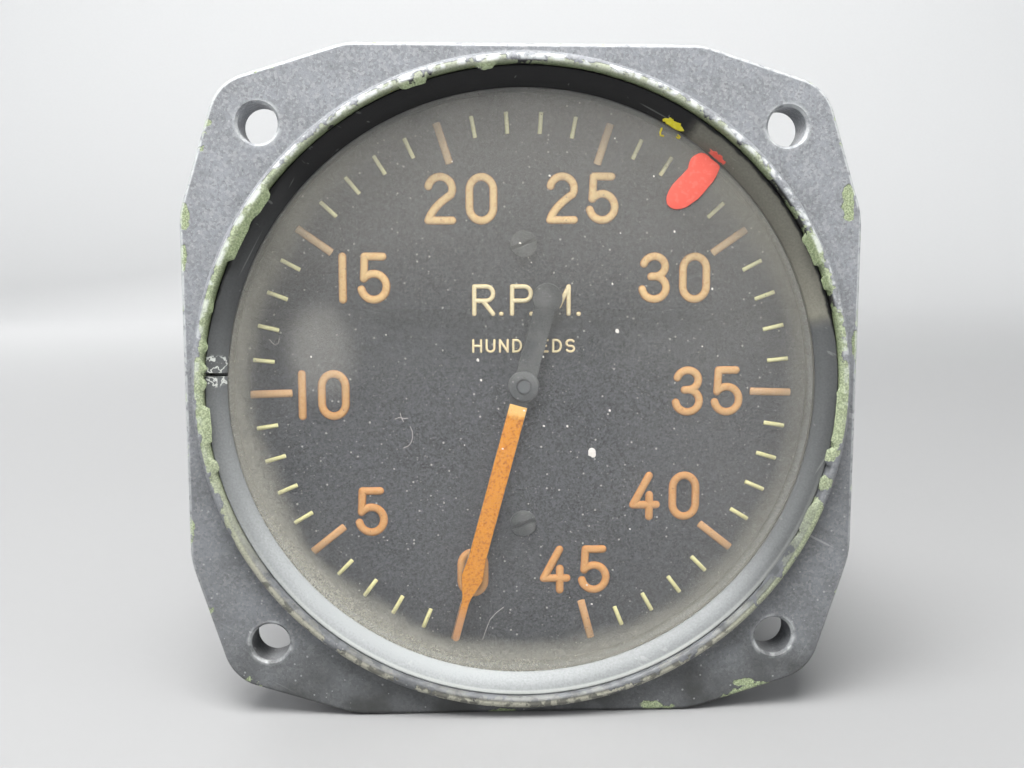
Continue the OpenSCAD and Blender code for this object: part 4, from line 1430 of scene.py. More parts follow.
@dataclass
class Case(SubAssembly):
    """Case casting: flange, rim and barrel."""

    rim: float = 39.7
    rim_wall: float = 1.45
    crest: float = -1.9
    bore: float = 38.25
    barrel: float = 38.55
    chamber: float = 36.25
    ledge: float = 3.1
    back: float = 92.034
    lug: float = 3.0
    lug_place: float = 33.65
    lug_length: float = 7.0
    front_lugs_from: float = 7.4
    edge: float = 0.5
    hole_edge: float = 0.3
    mouth: float = 39.2
    seat: float = 37.6
    foot: float = 0.7
    fillet: float = 0.4
    barrel_edge: float = 0.5
    ragged: float = 0.14
    hang_corner: int = 3
    hang_reach: float = 3.2
    hang_forward: float = 0.12
    seed: int = 11
    flakes: tuple[tuple[float, float, float], ...] = (
        (64, 3.4, 1.15), (70.5, 1.6, 0.95), (95, 5.4, 0.8), (102.5, 1.8, 1.1), (107.5, 1.6, 0.8),
        (114.5, 3.3, 0.8), (126, 8, 0.7), (140, 1.0, 0.8), (256.5, 1.5, 1.0), (264, 3.7, 0.95),
        (271.4, 1.3, 0.75), (274.2, 1.0, 0.95), (278, 1.3, 0.7), (285, 1.6, 0.55),
        (301, 7.4, 1.05), (340, 2.7, 0.95), (353, 1.9, 0.95),
    )

    def flange(self) -> Piece:
        """Makes the flange with rounded edges and four bored holes.

        Returns:
            The flange.
        """
        mould = Mould()
        front = rounding(self.edge)
        rows = front + [(share, FLANGE.thick - y) for share, y in reversed(front)]
        outer = [mould.level(FLANGE.outline(self.edge * share), y) for share, y in rows]
        mould.skin(outer, ends=False)
        faces = [[outer[0]], [outer[-1]]]
        wide = FLANGE.hole + self.hole_edge
        bored = ((wide, 0), (FLANGE.hole, self.hole_edge))
        bored += ((FLANGE.hole, FLANGE.thick - self.hole_edge), (wide, FLANGE.thick))
        for sx in (-1, 1):
            for sz in (-1, 1):
                mid = (sx * FLANGE.hole_place, sz * FLANGE.hole_place)
                walls = [mould.level(circle(mid, r, 40), y) for r, y in bored]
                mould.skin(walls, ends=False)
                faces[0].append(walls[0])
                faces[1].append(walls[-1])
        middle = [
            mould.loop([clock(r, 360 * i / 128, y) for i in range(128)])
            for r, y in ((self.mouth, 0), (self.seat, FLANGE.thick))
        ]
        mould.skin(middle, ends=False)
        for loops, ring in zip(faces, middle):
            mould.fill(loops + [ring])
        return weigh(mould.cast("case_flange", 40))

    def lumps(self, count: int) -> list[float]:
        """Gives how far old paint hangs over the crest's inner side, once round the rim.

        Args:
            count: How many places.

        Returns:
            The overhang at each place.
        """
        rng = random.Random(self.seed)
        levels: list[float] = []
        while len(levels) < count:
            lump = rng.choice((0.0, 0.15, 0.5, 0.8, 1.0)) * rng.uniform(0.7, 1)
            levels += [lump] * rng.randint(4, 16)
        levels = [level + rng.uniform(-0.12, 0.12) for level in levels[:count]]
        hang = []
        for i in range(count):
            level = (levels[i - 1] + 2 * levels[i] + levels[(i + 1) % count]) / 4
            depth = self.ragged * max(0.0, level)
            for middle, half, reach in self.flakes:
                inside = min(1.0, max(0.0, (half - abs(360 * i / count - middle)) / 0.7))
                depth = max(depth, reach * inside * (0.72 + 0.28 * level))
            hang.append(depth)
        return hang

    def body(self) -> Piece:
        """Makes the rim, the bore and the barrel with its screw lugs.

        Returns:
            The case's turned body.
        """
        round_by = self.rim_wall / 2
        mid = (self.bore + round_by, self.crest + round_by)
        profile = arc(mid, (round_by, -round_by), 180, 0, 12)
        steps = 600
        lumps = self.lumps(steps)

        def bend(corner: int, step: int) -> Flat:
            """Lets old paint hang ragged over the crest's inner side."""
            share = max(0.0, 1 - abs(corner - self.hang_corner) / self.hang_reach)
            return -share * lumps[step], -self.hang_forward * share * lumps[step]

        fillet, edge = self.fillet, self.barrel_edge
        profile += arc((self.rim + fillet, -fillet), (fillet, fillet), 180, 90, 5)
        foot = self.barrel + self.foot
        profile += [(self.rim + fillet, fillet), (foot, 2.4), (foot, FLANGE.thick)]
        profile += arc((foot, FLANGE.thick + self.foot), (self.foot, self.foot), 270, 180, 5)
        profile += arc((self.barrel - edge, self.back - edge), (edge, edge), 0, 90, 4)
        profile += [(self.chamber, self.back), (self.chamber, self.ledge), (self.bore, self.ledge)]
        mould = Mould()
        mould.turn(profile, steps=steps, bend=bend)
        lugs = [(a, self.front_lugs_from) for a in (0, 120, 240)]
        lugs += [(a, self.back - self.lug_length) for a in (45, 135, 225, 315)]
        for angle, start in lugs:
            x, _, z = clock(self.lug_place, angle, 0)
            ring = circle((x, z), self.lug, 28)
            end = start + self.lug_length - 0.02
            mould.skin([mould.level(ring, y) for y in (start, end)])
        return mould.cast("case_body")

    def build(self) -> None:
        """Builds the flange and the turned body."""
        self.pieces = {"flange": self.flange(), "body": self.body()}

    def dress(self) -> None:
        """Paints both, each worn along its own edges."""
        for name, edge in (("flange", EdgeKind.FLANGE), ("body", EdgeKind.BODY)):
            paint = CasePaint(f"case_paint_{name}", edge)
            self.put(name, paint, "case_paint", "case")


@dataclass
class Window(SubAssembly):
    """Retaining ring, glass, and the marks and dirt on the glass."""

    ring_out: float = 38.22
    ring_groove: float = 38.95
    ring_mouth: float = 38.03
    ring_in: float = 35.88
    ring_front: float = -1.1
    glass_front: float = 0.7
    split_angle: float = 273.0
    split_sweep: float = 0.7
    groove_depth: float = 0.8
    bow: float = 0.22
    bow_way: Flat = (0.68, 0.73)
    film_thick: float = 0.03
    dab_edge: float = 0.42
    seed: int = 7

    def face(self, share: float) -> Flat:
        """Gives a point of the ring's bowed front face.

        Args:
            share: 0 at its mouth and 1 at its inner edge.

        Returns:
            Radius and depth.
        """
        low, high = (self.ring_mouth, self.ring_front), (self.ring_in, self.glass_front - 0.3)
        bow = self.bow * math.sin(math.pi * share)
        radius = low[0] + (high[0] - low[0]) * share - bow * self.bow_way[0]
        return radius, low[1] + (high[1] - low[1]) * share - bow * self.bow_way[1]

    def ring(self) -> Piece:
        """Makes the split retaining ring.

        Returns:
            The ring.
        """
        profile = [self.face(i / 10) for i in range(11)]
        profile += [(self.ring_in, self.glass_front), (self.ring_groove, self.glass_front)]
        groove = self.glass_front - self.groove_depth
        profile += [(self.ring_groove, groove), (self.ring_out, groove)]
        round_by = self.ring_out - self.ring_mouth
        mid = (self.ring_mouth, self.ring_front + round_by)
        profile += arc(mid, (round_by, -round_by), 0, 80, 4)
        mould = Mould()
        start = self.split_angle + self.split_sweep / 2
        mould.turn(profile, start, 360 - self.split_sweep, 240)
        return mould.cast("retaining_ring_turned")

    def film(self) -> Piece:
        """Makes the thin skin of dust on the glass.

        Returns:
            The film.
        """
        mould = Mould()
        front, back = self.glass_front - self.film_thick, self.glass_front - 0.01
        reach = self.ring_in - 0.01
        mould.turn([(0.0, front), (reach, front), (reach, back), (0.0, back)], steps=128)
        return mould.cast("glass_film")

    def blob(self, outline: Sequence[Flat], thick: float, mould: Mould, ragged: float) -> None:
        """Adds a dab of paint or dirt on the glass.

        Args:
            outline: Its counter-clockwise corners as x and z.
            thick: How far it stands out.
            mould: The mould that it goes into.
            ragged: How far its corners stray.
        """
        rng = random.Random(self.seed)
        dab = []
        for x, z in outline:
            dab.append((x + rng.uniform(-ragged, ragged), z + rng.uniform(-ragged, ragged)))
        face = self.glass_front - self.film_thick
        mould.plate(dab, face - thick, face + 0.01, thick * self.dab_edge)

    def red_mark(self) -> Piece:
        """Makes the red paint mark, which runs from the glass up onto the ring.

        Returns:
            The mark.
        """
        outline = [
            (17.0, 22.5), (17.7, 21.75), (18.7, 21.6), (19.9, 22.1), (21.3, 23.2), (22.4, 24.7),
            (23.2, 25.9), (23.6, 26.75), (23.0, 27.3), (22.3, 27.85), (21.4, 28.45), (20.6, 28.2),
            (19.8, 27.5), (19.5, 26.3), (18.1, 24.85), (17.1, 23.6),
        ]
        mould = Mould()
        self.blob(soften(outline, 1), 0.12, mould, 0.07)
        self.dab(mould, (39.6, 1.9), (0.86, 0.15), 3)
        return mould.cast("red_mark")

    def dab(self, mould: Mould, clock_span: Flat, face_span: Flat, seed: int) -> None:
        """Adds a dab of paint on the ring's face.

        Args:
            mould: The mould that it goes into.
            clock_span: Its middle clock angle and how far it reaches either way.
            face_span: Its middle on the ring's face, as a share, and how far it reaches.
            seed: Seed of its ragged edge.
        """
        rng = random.Random(self.seed + seed)
        tops, feet, count = [], [], 26
        for i in range(count):
            t = 2 * math.pi * i / count
            angle = clock_span[0] + clock_span[1] * math.cos(t) + rng.uniform(-0.25, 0.25)
            share = face_span[0] + face_span[1] * math.sin(t) + rng.uniform(-0.06, 0.06)
            radius, depth = self.face(min(0.99, share))
            tops.append(clock(radius - 0.05, angle, depth - 0.06))
            feet.append(clock(radius + 0.06, angle, depth + 0.06))
        mould.skin([mould.loop(feet), mould.loop(tops)])

    def yellow_mark(self) -> Piece:
        """Makes the yellow dab on the ring's face and its two runs on the glass.

        Returns:
            The dab.
        """
        mould = Mould()
        self.dab(mould, (29.3, 2.2), (0.8, 0.2), 1)
        tails = [[(16.38, 31.23), (16.2, 30.7), (16.25, 30.4), (16.59, 30.33)],
                 [(18.36, 30.45), (18.62, 30.2), (18.5, 30.05), (18.21, 30.18)]]
        for tail in tails:
            mould.bead(tail, 0.2, 0.08, self.glass_front - self.film_thick)
        return mould.cast("yellow_mark", 60)

    def specks(self) -> Piece:
        """Makes the larger specks of dried dirt on the glass.

        Returns:
            The specks.
        """
        mould = Mould()
        rng = random.Random(self.seed + 2)
        spots = [(8.35, -8.0, 0.46, 0.6), (11.3, 7.0, 0.22, 0.26), (-5.7, 3.5, 0.16, 0.2)]
        for _ in range(26):
            radius, angle = 34 * math.sqrt(rng.random()), rng.uniform(0, 360)
            x, _, z = clock(radius, angle, 0)
            size = rng.uniform(0.05, 0.15)
            spots.append((x, z, size, size * rng.uniform(0.7, 1.5)))
        for x, z, wide, high in spots:
            self.blob(arc((x, z), (wide, high), 0, 360, 12)[:-1], 0.05, mould, wide * 0.2)
        return mould.cast("glass_specks")

    def lint(self) -> Piece:
        """Makes the hairs of lint that lie on the glass.

        Returns:
            The lint.
        """
        mould = Mould()
        hairs = [
            [(-5.2, -31.6), (-4.8, -30.4), (-4.3, -29.1), (-3.5, -28.2), (-2.6, -27.5)],
            [(-14.0, -4.65), (-13.75, -5.2), (-13.7, -5.9), (-13.85, -6.5), (-14.2, -7.0),
             (-14.86, -7.3)],
            [(-15.83, -3.7), (-15.3, -3.5), (-14.8, -3.65), (-14.25, -3.6)],
            [(-15.2, -2.95), (-15.1, -3.4), (-14.8, -4.03)],
            [(-30.79, 6.08), (-30.5, 5.7), (-30.12, 5.39), (-29.69, 5.64), (-29.59, 6.16)],
        ]
        for hair in hairs:
            mould.bead(hair, 0.07, 0.05, self.glass_front - self.film_thick)
        return mould.cast("glass_lint")

    def build(self) -> None:
        """Builds the ring and what lies on the glass."""
        self.pieces = {
            "ring": self.ring(),
            "film": self.film(),
            "red": self.red_mark(),
            "yellow": self.yellow_mark(),
            "specks": self.specks(),
            "lint": self.lint(),
        }

    def dress(self) -> None:
        """Enamels the ring and colours the marks and the dirt."""
        face = self.glass_front
        self.put("ring", RingEnamel(), "ring_enamel", "retaining_ring")
        self.put("film", GlassFilm(), "clear_glass")
        red = RaisedPaint("red_paint", shade(205, 92, 80), shade(176, 50, 42), shade(216, 124, 112),
                          face, 0.15, 0.3, 1.6, 0.5)
        self.put("red", red, "pointer_orange")
        yellow = RaisedPaint("yellow_paint", shade(208, 196, 46), shade(180, 164, 28),
                             shade(222, 214, 100), face, 0.8, 0.3, 1.5)
        self.put("yellow", yellow, "pointer_orange")
        pale = Moulding("dried_dirt", shade(214, 210, 204), shade(180, 176, 170), 0.8)
        self.put("specks", pale, "clear_glass")
        hair = Moulding("lint_fibre", shade(150, 147, 143), shade(124, 122, 119), 0.9)
        self.put("lint", hair, "clear_glass")


Strokes = list[tuple[list[Flat], bool]]


@dataclass(frozen=True)
class Lettering:
    """Single-stroke figures and capitals of one size."""

    width: float
    height: float

    def digit(self, figure: str) -> Strokes:
        """Draws a figure.

        Args:
            figure: One of the figures that the dial carries.

        Returns:
            Its strokes, with the origin at the lower left, and whether each is closed.
        """
        w, h = self.width, self.height
        half = w / 2
        if figure == "0":
            end = half * 1.08
            ring = arc((half, h - end), (half, end), 0, 180, 16)
            return [(ring + arc((half, end), (half, end), 180, 360, 16), True)]
        if figure == "1":
            return [([(half, 0), (half, h)], False)]
        if figure == "2":
            bow = arc((half, h - half), (half, half), 168, -28, 18)
            start, bend = bow[-1], (0.16 * w, 0.30 * h)
            for i in range(1, 11):
                t = i / 10
                near, far = (1 - t) ** 2, 2 * t * (1 - t)
                bow.append(tuple(near * a + far * b for a, b in zip(start, bend)))
            return [(bow, False), ([(0, 0), (w, 0)], False)]
        if figure == "3":
            upper = arc((0.49 * w, 0.765 * h), (0.46 * w, 0.235 * h), 165, -78, 16)
            lower = arc((0.49 * w, 0.268 * h), (0.51 * w, 0.268 * h), 82, -172, 18)
            waist = [(0.36 * w, 0.53 * h), (0.56 * w, 0.535 * h)]
            return [(upper, False), (lower, False), (waist, False)]
        if figure == "4":
            arm = [(0.68 * w, h), (0, 0.29 * h)]
            return [(arm, False), ([(0, 0.29 * h), (w, 0.29 * h)], False),
                    ([(0.70 * w, 0.53 * h), (0.70 * w, 0)], False)]
        bowl = arc((0.47 * w, 0.302 * h), (0.53 * w, 0.302 * h), 142, -168, 22)
        flag, neck = [(0.1 * w, h), (0.85 * w, h)], [(0.1 * w, h), (0.055 * w, 0.49 * h)]
        return [(flag, False), (neck, False), (bowl, False)]

    def capital(self, letter: str) -> Strokes:
        """Draws a capital or a full stop.

        Args:
            letter: One of the capitals that the dial carries.

        Returns:
            Its strokes, with the origin at the lower left, and whether each is closed.
        """
        w, h = self.width, self.height
        stem = [(0, 0), (0, h)]
        bow = 0.26 * h
        loop = [(0, h)] + arc((w - bow, h - bow), (bow, bow), 90, -90, 10) + [(0, h - 2 * bow)]
        drawn: dict[str, list[list[Flat]]] = {
            "R": [stem, loop, [(0.45 * w, h - 2 * bow), (w, 0)]],
            "P": [stem, loop],
            "M": [stem, [(0, h), (w / 2, 0.28 * h)], [(w / 2, 0.28 * h), (w, h)], [(w, h), (w, 0)]],
            ".": [[(0, 0), (0.02, 0)]],
            "H": [stem, [(w, 0), (w, h)], [(0, h / 2), (w, h / 2)]],
            "U": [[(0, h)] + arc((w / 2, 0.32 * h), (w / 2, 0.32 * h), 180, 360, 10) + [(w, h)]],
            "N": [stem, [(0, h), (w, 0)], [(w, 0), (w, h)]],
            "D": [stem, [(0, h)] + arc((0.4 * w, h / 2), (0.6 * w, h / 2), 90, -90, 12) + [(0, 0)]],
            "E": [stem, [(0, h), (w, h)], [(0, h / 2), (0.8 * w, h / 2)], [(0, 0), (w, 0)]],
            "S": [arc((w / 2, 0.74 * h), (w / 2, 0.26 * h), 35, 270, 12)
                  + arc((w / 2, 0.25 * h), (w / 2, 0.25 * h), 90, -150, 12)[1:]],
        }
        return [(path, False) for path in drawn[letter]]


@dataclass
class DialFace(SubAssembly):
    """Marks on the dial and the two screws that hold it."""

    face: float = 4.6
    zero: float = 195.0
    sweep: float = 330.0
    ticks: int = 45
    minor: Flat = (30.95, 33.7)
    major: Flat = (28.75, 33.95)
    minor_width: float = 0.54
    major_width: float = 0.96
    figure_width: float = 2.95
    figure_height: float = 5.3
    figure_stroke: float = 1.0
    figure_gap: float = 5.05
    one_gap: float = 3.9
    rise: float = 0.26
    screw_place: float = 17.6
    screw_head: float = 1.65
    screw_rise: float = 0.52

    def angle(self, value: float) -> float:
        """Gives the clock angle of a value on the scale."""
        return self.zero + self.sweep * value / self.ticks

    def tick_marks(self, every: bool) -> Piece:
        """Makes the short or the long ticks.

        Args:
            every: True for the short ones between the fives.

        Returns:
            The ticks as one piece.
        """
        mould = Mould()
        width = self.minor_width if every else self.major_width
        low, high = self.minor if every else self.major
        for value in range(self.ticks + 1):
            if (value % 5 != 0) == every:
                ends = [clock(r, self.angle(value), 0) for r in (low + 0.1, high - 0.1)]
                line = [(x, z) for x, _, z in ends]
                mould.bead(line, width, self.rise * 0.8, self.face, cap=0.25)
        return mould.cast("minor_ticks" if every else "major_ticks")

    def figures(self) -> Piece:
        """Makes the raised figures.

        Returns:
            The figures as one piece.
        """
        spots = {0: (-6.4, -24.0), 5: (-19.1, -15.95), 10: (-25.6, -1.1), 15: (-20.35, 13.4),
                 20: (-7.7, 23.1), 25: (7.3, 23.2), 30: (18.9, 13.45), 35: (23.35, -0.8),
                 40: (18.05, -14.25), 45: (6.65, -23.75)}
        letters = Lettering(self.figure_width, self.figure_height)
        mould = Mould()
        for value, (x_mid, z_mid) in spots.items():
            text = str(value)
            gap = self.one_gap if "1" in text else self.figure_gap
            for i, figure in enumerate(text):
                left = x_mid + (i - (len(text) - 1) / 2) * gap - letters.width / 2
                foot = z_mid - letters.height / 2
                for path, closed in letters.digit(figure):
                    line = [(left + x, foot + z) for x, z in path]
                    mould.bead(line, self.figure_stroke, self.rise, self.face, closed)
        return mould.cast("figures")

    def words(self) -> Piece:
        """Makes the two generic words under the top screw.

        Returns:
            The words as one piece.
        """
        mould = Mould()
        upper = list(zip("R.P.M.", (-6.1, -2.75, -1.4, 1.0, 3.3, 6.9)))
        lower = [(letter, -6.25 + 1.665 * i) for i, letter in enumerate("HUNDREDS")]
        rows = (
            (upper, Lettering(2.35, 3.4), 8.98, 0.56, 0.16),
            (lower, Lettering(0.97, 1.43), 4.27, 0.3, 0.14),
        )
        for spots, letters, foot, stroke, rise in rows:
            for letter, left in spots:
                for line, closed in letters.capital(letter):
                    line = [(left + x, foot + z) for x, z in line]
                    mould.bead(line, stroke, rise, self.face, closed)
        return mould.cast("dial_words")

    def screws(self) -> Piece:
        """Makes the two slotted dial screws.

        Returns:
            The screws as one piece.
        """
        mould = Mould()
        for sign in (1, -1):
            slotted(mould, (0, sign * self.screw_place), self.screw_head, self.face,
                    -self.screw_rise, 20, 0.3)
        return mould.cast("dial_screws_slotted")

    def build(self) -> None:
        """Builds the marks and the screws."""
        self.pieces = {
            "long": self.tick_marks(False),
            "short": self.tick_marks(True),
            "figures": self.figures(),
            "words": self.words(),
            "screws": self.screws(),
        }

    def dress(self) -> None:
        """Paints the marks and the screws."""
        tan = RaisedPaint("figure_paint", shade(224, 190, 134), shade(156, 98, 46),
                          shade(180, 120, 60), self.face, self.rise, deep=0.76)
        tick = RaisedPaint("long_tick_paint", shade(208, 178, 138), shade(160, 114, 72),
                           shade(186, 142, 96), self.face, self.rise * 0.8, deep=0.76)
        cream = RaisedPaint("short_tick_paint", shade(246, 240, 190), shade(160, 150, 96),
                            shade(214, 202, 144), self.face, self.rise * 0.8, deep=0.6)
        word = RaisedPaint("word_paint", shade(218, 202, 164), shade(178, 138, 86),
                           shade(206, 182, 138), self.face, 0.15)
        for key, paint in (("long", tick), ("short", cream), ("figures", tan), ("words", word)):
            self.put(key, paint, "pointer_orange")
        self.put("screws", DIAL_SCREW_BLACK, "dial_screw", "dial_screws")


SLOT_WIDTH = 0.14
SLOT_FLOOR = 0.32


def slotted(
    mould: Mould, mid: Flat, radius: float, seat: float, rise: float, lean: float, edge: float
) -> None:
    """Adds a screw's slotted head.

    Args:
        mould: The mould that it goes into.
        mid: Its middle as x and z.
        radius: Radius of the head.
        seat: Depth of the face that it sits on.
        rise: How far it stands out, below 0 towards the front.
        lean: Angle of the slot in degrees.
        edge: Radius of its edges as a share of its height.
    """
    slot = radius * SLOT_WIDTH
    floor = seat + rise * SLOT_FLOOR
    turn = math.radians(lean)
    low, high = sorted((seat, floor))
    mould.plate(circle(mid, radius, 40), low, high, abs(rise) * 0.02)
    reach = math.degrees(math.asin(slot / radius))
    low, high = sorted((floor, seat + rise))
    for side in (0, 180):
        half = []
        for x, z in arc((0, 0), (radius, radius), side + reach, side + 180 - reach, 26):
            half.append((mid[0] + x * math.cos(turn) - z * math.sin(turn),
                         mid[1] + x * math.sin(turn) + z * math.cos(turn)))
        round_by = min(abs(rise) * edge * 0.5, (high - low) * 0.3)
        mould.plate(half, low - 0.01, high + 0.01, round_by)


@dataclass
class Pointer(SubAssembly):
    """Pointer: dark blade with a tail, orange paint and a hub."""

    zero: float = 195.0
    front: float = 3.3
    back: float = 3.8
    hub_front: float = 2.95
    hub: float = 1.9
    staff: float = 0.78
    bar: float = 1.15
    spear: float = 1.4
    tip: float = 0.5
    spear_from: float = 22.7
    spear_at: float = 25.0
    needle: float = 28.2
    reach: float = 33.7
    tail: float = 11.3
    tail_disc: float = 1.87
    tail_bar: float = 1.3
    paint_from: float = 2.5
    paint_rise: float = 0.16

    def lay(self, outline: Sequence[Flat]) -> list[Flat]:
        """Turns an outline of across and along to the zero mark.

        Args:
            outline: Corners as across and along.

        Returns:
            The corners as x and z.
        """
        turn = math.radians(self.zero)
        sine, cosine = math.sin(turn), math.cos(turn)
        return [(u * sine + v * cosine, u * cosine - v * sine) for v, u in outline]

    def side(self, less: float) -> list[Flat]:
        """Draws the right side of the bar, from the spear's start to the tip.

        Args:
            less: How much narrower it is drawn.

        Returns:
            Corners as across and along.
        """
        rows = (
            (self.bar, self.spear_from),
            (self.bar + (self.spear - self.bar) * 0.7, self.spear_from + 1.5),
            (self.spear, self.spear_at),
            (self.spear - 0.1, self.spear_at + 0.6),
            (self.tip + 0.12, self.needle - 0.4),
            (self.tip, self.needle + 0.3),
        )
        return [(half - less, along) for half, along in rows]

    def blade(self) -> Piece:
        """Makes the dark blade with its tail.

        Returns:
            The blade.
        """
        right = [(self.bar, 1.6)] + self.side(0)
        tip = arc((0, self.reach - self.tip), (self.tip, self.tip), 0, 180, 8)
        left = [(-v, u) for v, u in reversed(right)]
        boss = self.hub + 0.05
        swell = arc((0, 0), (boss, boss), 128, 228, 10)
        wide = math.degrees(math.acos(self.tail_bar / self.tail_disc))
        tail = arc((0, -self.tail), (self.tail_disc, self.tail_disc), 180 - wide, 360 + wide, 24)
        outline = right + tip + left + swell + tail + arc((0, 0), (boss, boss), -48, 52, 10)
        mould = Mould()
        mould.plate(self.lay(outline), self.front, self.back, 0.08)
        return weigh(mould.cast("pointer_blade"))

    def paint(self) -> Piece:
        """Makes the raised orange paint on the bar.

        Returns:
            The paint.
        """
        less = 0.04
        right = [(self.bar - less, self.paint_from)] + self.side(less)
        tip = arc((0, self.reach - self.tip), (self.tip - less, self.tip - less), 0, 180, 8)
        left = [(-v, u) for v, u in reversed(right)]
        mould = Mould()
        outline = self.lay(right + tip + left)
        mould.plate(outline, self.front - self.paint_rise, self.front + 0.02, 0.07)
        return mould.cast("pointer_paint")

    def hub_cap(self) -> Piece:
        """Makes the hub round the staff.

        Returns:
            The hub.
        """
        top, low = self.hub_front, self.hub_front + 0.12
        profile = [(self.staff, low), (self.staff + 0.1, low), (self.staff + 0.16, top)]
        profile += arc((self.hub - 0.18, top + 0.18), (0.18, -0.18), 90, 0, 5)
        profile += [(self.hub, self.front), (self.hub - 0.35, self.front + 0.02)]
        profile += [(self.hub - 0.35, 4.2), (self.staff, 4.2)]
        mould = Mould()
        mould.turn(profile, steps=64)
        return mould.cast("pointer_hub_cap")

    def build(self) -> None:
        """Builds the blade, its paint and the hub."""
        self.pieces = {"blade": self.blade(), "paint": self.paint(), "hub": self.hub_cap()}

    def dress(self) -> None:
        """Paints the pointer."""
        self.put("blade", POINTER_BLACK, "hub_black", "pointer", body=Body.POINTER)
        orange = PointerPaint("pointer_paint_orange", shade(178, 112, 0), shade(146, 80, 0),
                              shade(120, 60, 0), self.front, self.paint_rise, 0.6, 3.4, 0.75)
        self.put("paint", orange, "pointer_orange", "pointer", body=Body.POINTER)
        self.put("hub", HUB_BLACK, "hub_black", "pointer_hub", body=Body.POINTER)


@dataclass
class Rear(SubAssembly):
    """Rear cover, its screws and the threaded receptacle."""

    cover: float = 38.35
    cover_front: float = 92.534
    cover_back: float = 95.534
    cover_hole: float = 9.2
    screw_place: float = 33.65
    screw_head: float = 2.4
    screw: float = 1.25
    screw_from: float = 86.034
    head: float = 1.9
    flange_half: float = 15.1
    flange_corner: float = 3.6
    flange_back: float = 98.534
    shell_screws: float = 11.5
    shell_head: float = 2.6
    shell_screw: float = 1.4
    thread: float = 11.11
    pitch: float = 1.27
    depth: float = 0.6
    shell_end: float = 112.534
    shell_bore: float = 9.0
    insert_face: float = 104.034

    def cover_plate(self) -> Piece:
        """Makes the rear cover with a rounded edge.

        Returns:
            The cover.
        """
        edge = 0.7
        profile = [(self.cover_hole, self.cover_front), (self.cover, self.cover_front)]
        profile += arc((self.cover - edge, self.cover_back - edge), (edge, edge), 0, 90, 6)
        profile += [(self.cover_hole, self.cover_back)]
        mould = Mould()
        mould.turn(profile, steps=192)
        return mould.cast("rear_cover_plate")

    def cover_screws(self) -> Piece:
        """Makes the four slotted screws of the rear cover.

        Returns:
            The screws as one piece.
        """
        mould = Mould()
        for angle, lean in ((45, 12), (135, 70), (225, -35), (315, 40)):
            x, _, z = clock(self.screw_place, angle, 0)
            slotted(mould, (x, z), self.screw_head, self.cover_back, self.head, lean, 0.7)
            shank = circle((x, z), self.screw, 24)
            mould.plate(shank, self.screw_from, self.cover_back + 0.2, 0.2)
        return mould.cast("rear_cover_screws_slotted")

    def shell_flange(self) -> Piece:
        """Makes the receptacle's square flange.

        Returns:
            The flange.
        """
        inner = self.flange_half - self.flange_corner

        def outline(depth: float) -> list[Flat]:
            """Draws the square with round corners, moved inwards."""
            reach = self.flange_corner - depth
            points: list[Flat] = []
            for mid, start in (((inner, inner), 0), ((-inner, inner), 90),
                               ((-inner, -inner), 180), ((inner, -inner), 270)):
                points += arc(mid, (reach, reach), start, start + 90, 8)
            return points

        mould, edge = Mould(), 0.4
        rows = [(share, self.flange_back - deep) for share, deep in rounding(edge)]
        rows.append((0, self.cover_back))
        loops = [mould.level(outline(edge * share), y) for share, y in rows]
        mould.skin(loops, ends=False)
        bore = circle((0, 0), self.shell_bore + 1, 64)
        holes = [mould.level(bore, y) for y in (self.flange_back, self.cover_back)]
        mould.skin(holes, ends=False)
        for outer, hole in ((loops[0], holes[0]), (loops[-1], holes[1])):
            mould.fill((outer, hole))
        return weigh(mould.cast("receptacle_flange", 40))

    def shell(self) -> Piece:
        """Makes the receptacle's shell with its helical thread.

        Returns:
            The shell.
        """
        around, start, end = 96, self.flange_back - 0.5, self.shell_end
        rows = 150
        mould = Mould()
        loops = []
        for i in range(rows + 1):
            y = start + (end - 0.5 - start) * i / rows
            rising = max(0.0, (y - self.flange_back - 1.6) / 0.8)
            fade = min(1.0, rising, max(0.0, (end - 0.7 - y) / 0.5))
            ring = []
            for k in range(around):
                turn = ((y - start) / self.pitch - k / around) % 1
                crest = 1 - abs(2 * turn - 1)
                cut = self.depth * fade * (1 - min(1.0, max(0.0, (crest - 0.12) / 0.72)))
                ring.append(clock(self.thread - cut, 360 * k / around, y))
            loops.append(mould.loop(ring))
        bore, inside = self.shell_bore, self.cover_back - 3
        for radius, y in ((self.thread - 0.5, end), (bore + 0.35, end), (bore, end - 0.35),
                          (bore, inside), (bore + 0.15, inside), (bore + 0.15, start)):
            loops.append(mould.loop([clock(radius, 360 * k / around, y) for k in range(around)]))
        mould.skin(loops + loops[:1], ends=False)
        key = [(-0.8, bore - 1), (0.8, bore - 1), (0.8, bore + 0.4), (-0.8, bore + 0.4)]
        mould.plate(key, self.insert_face, end - 0.4, 0.15)
        return mould.cast("receptacle_shell_threaded")

    def shell_fixings(self) -> Piece:
        """Makes the receptacle's four slotted screws.

        Returns:
            The screws as one piece.
        """
        mould = Mould()
        place, seat = self.shell_screws, self.flange_back
        for x, z, lean in ((-1, -1, 25), (-1, 1, -50), (1, -1, 80), (1, 1, 5)):
            spot = (x * place, z * place)
            slotted(mould, spot, self.shell_head, seat, self.head, lean, 0.7)
            shank = circle(spot, self.shell_screw, 24)
            mould.plate(shank, self.cover_front + 0.3, seat + 0.2, 0.2)
        return mould.cast("receptacle_screws_slotted")

    def build(self) -> None:
        """Builds the cover, the receptacle and their screws."""
        self.pieces = {
            "cover": self.cover_plate(),
            "cover_screws": self.cover_screws(),
            "flange": self.shell_flange(),
            "shell": self.shell(),
            "shell_screws": self.shell_fixings(),
        }

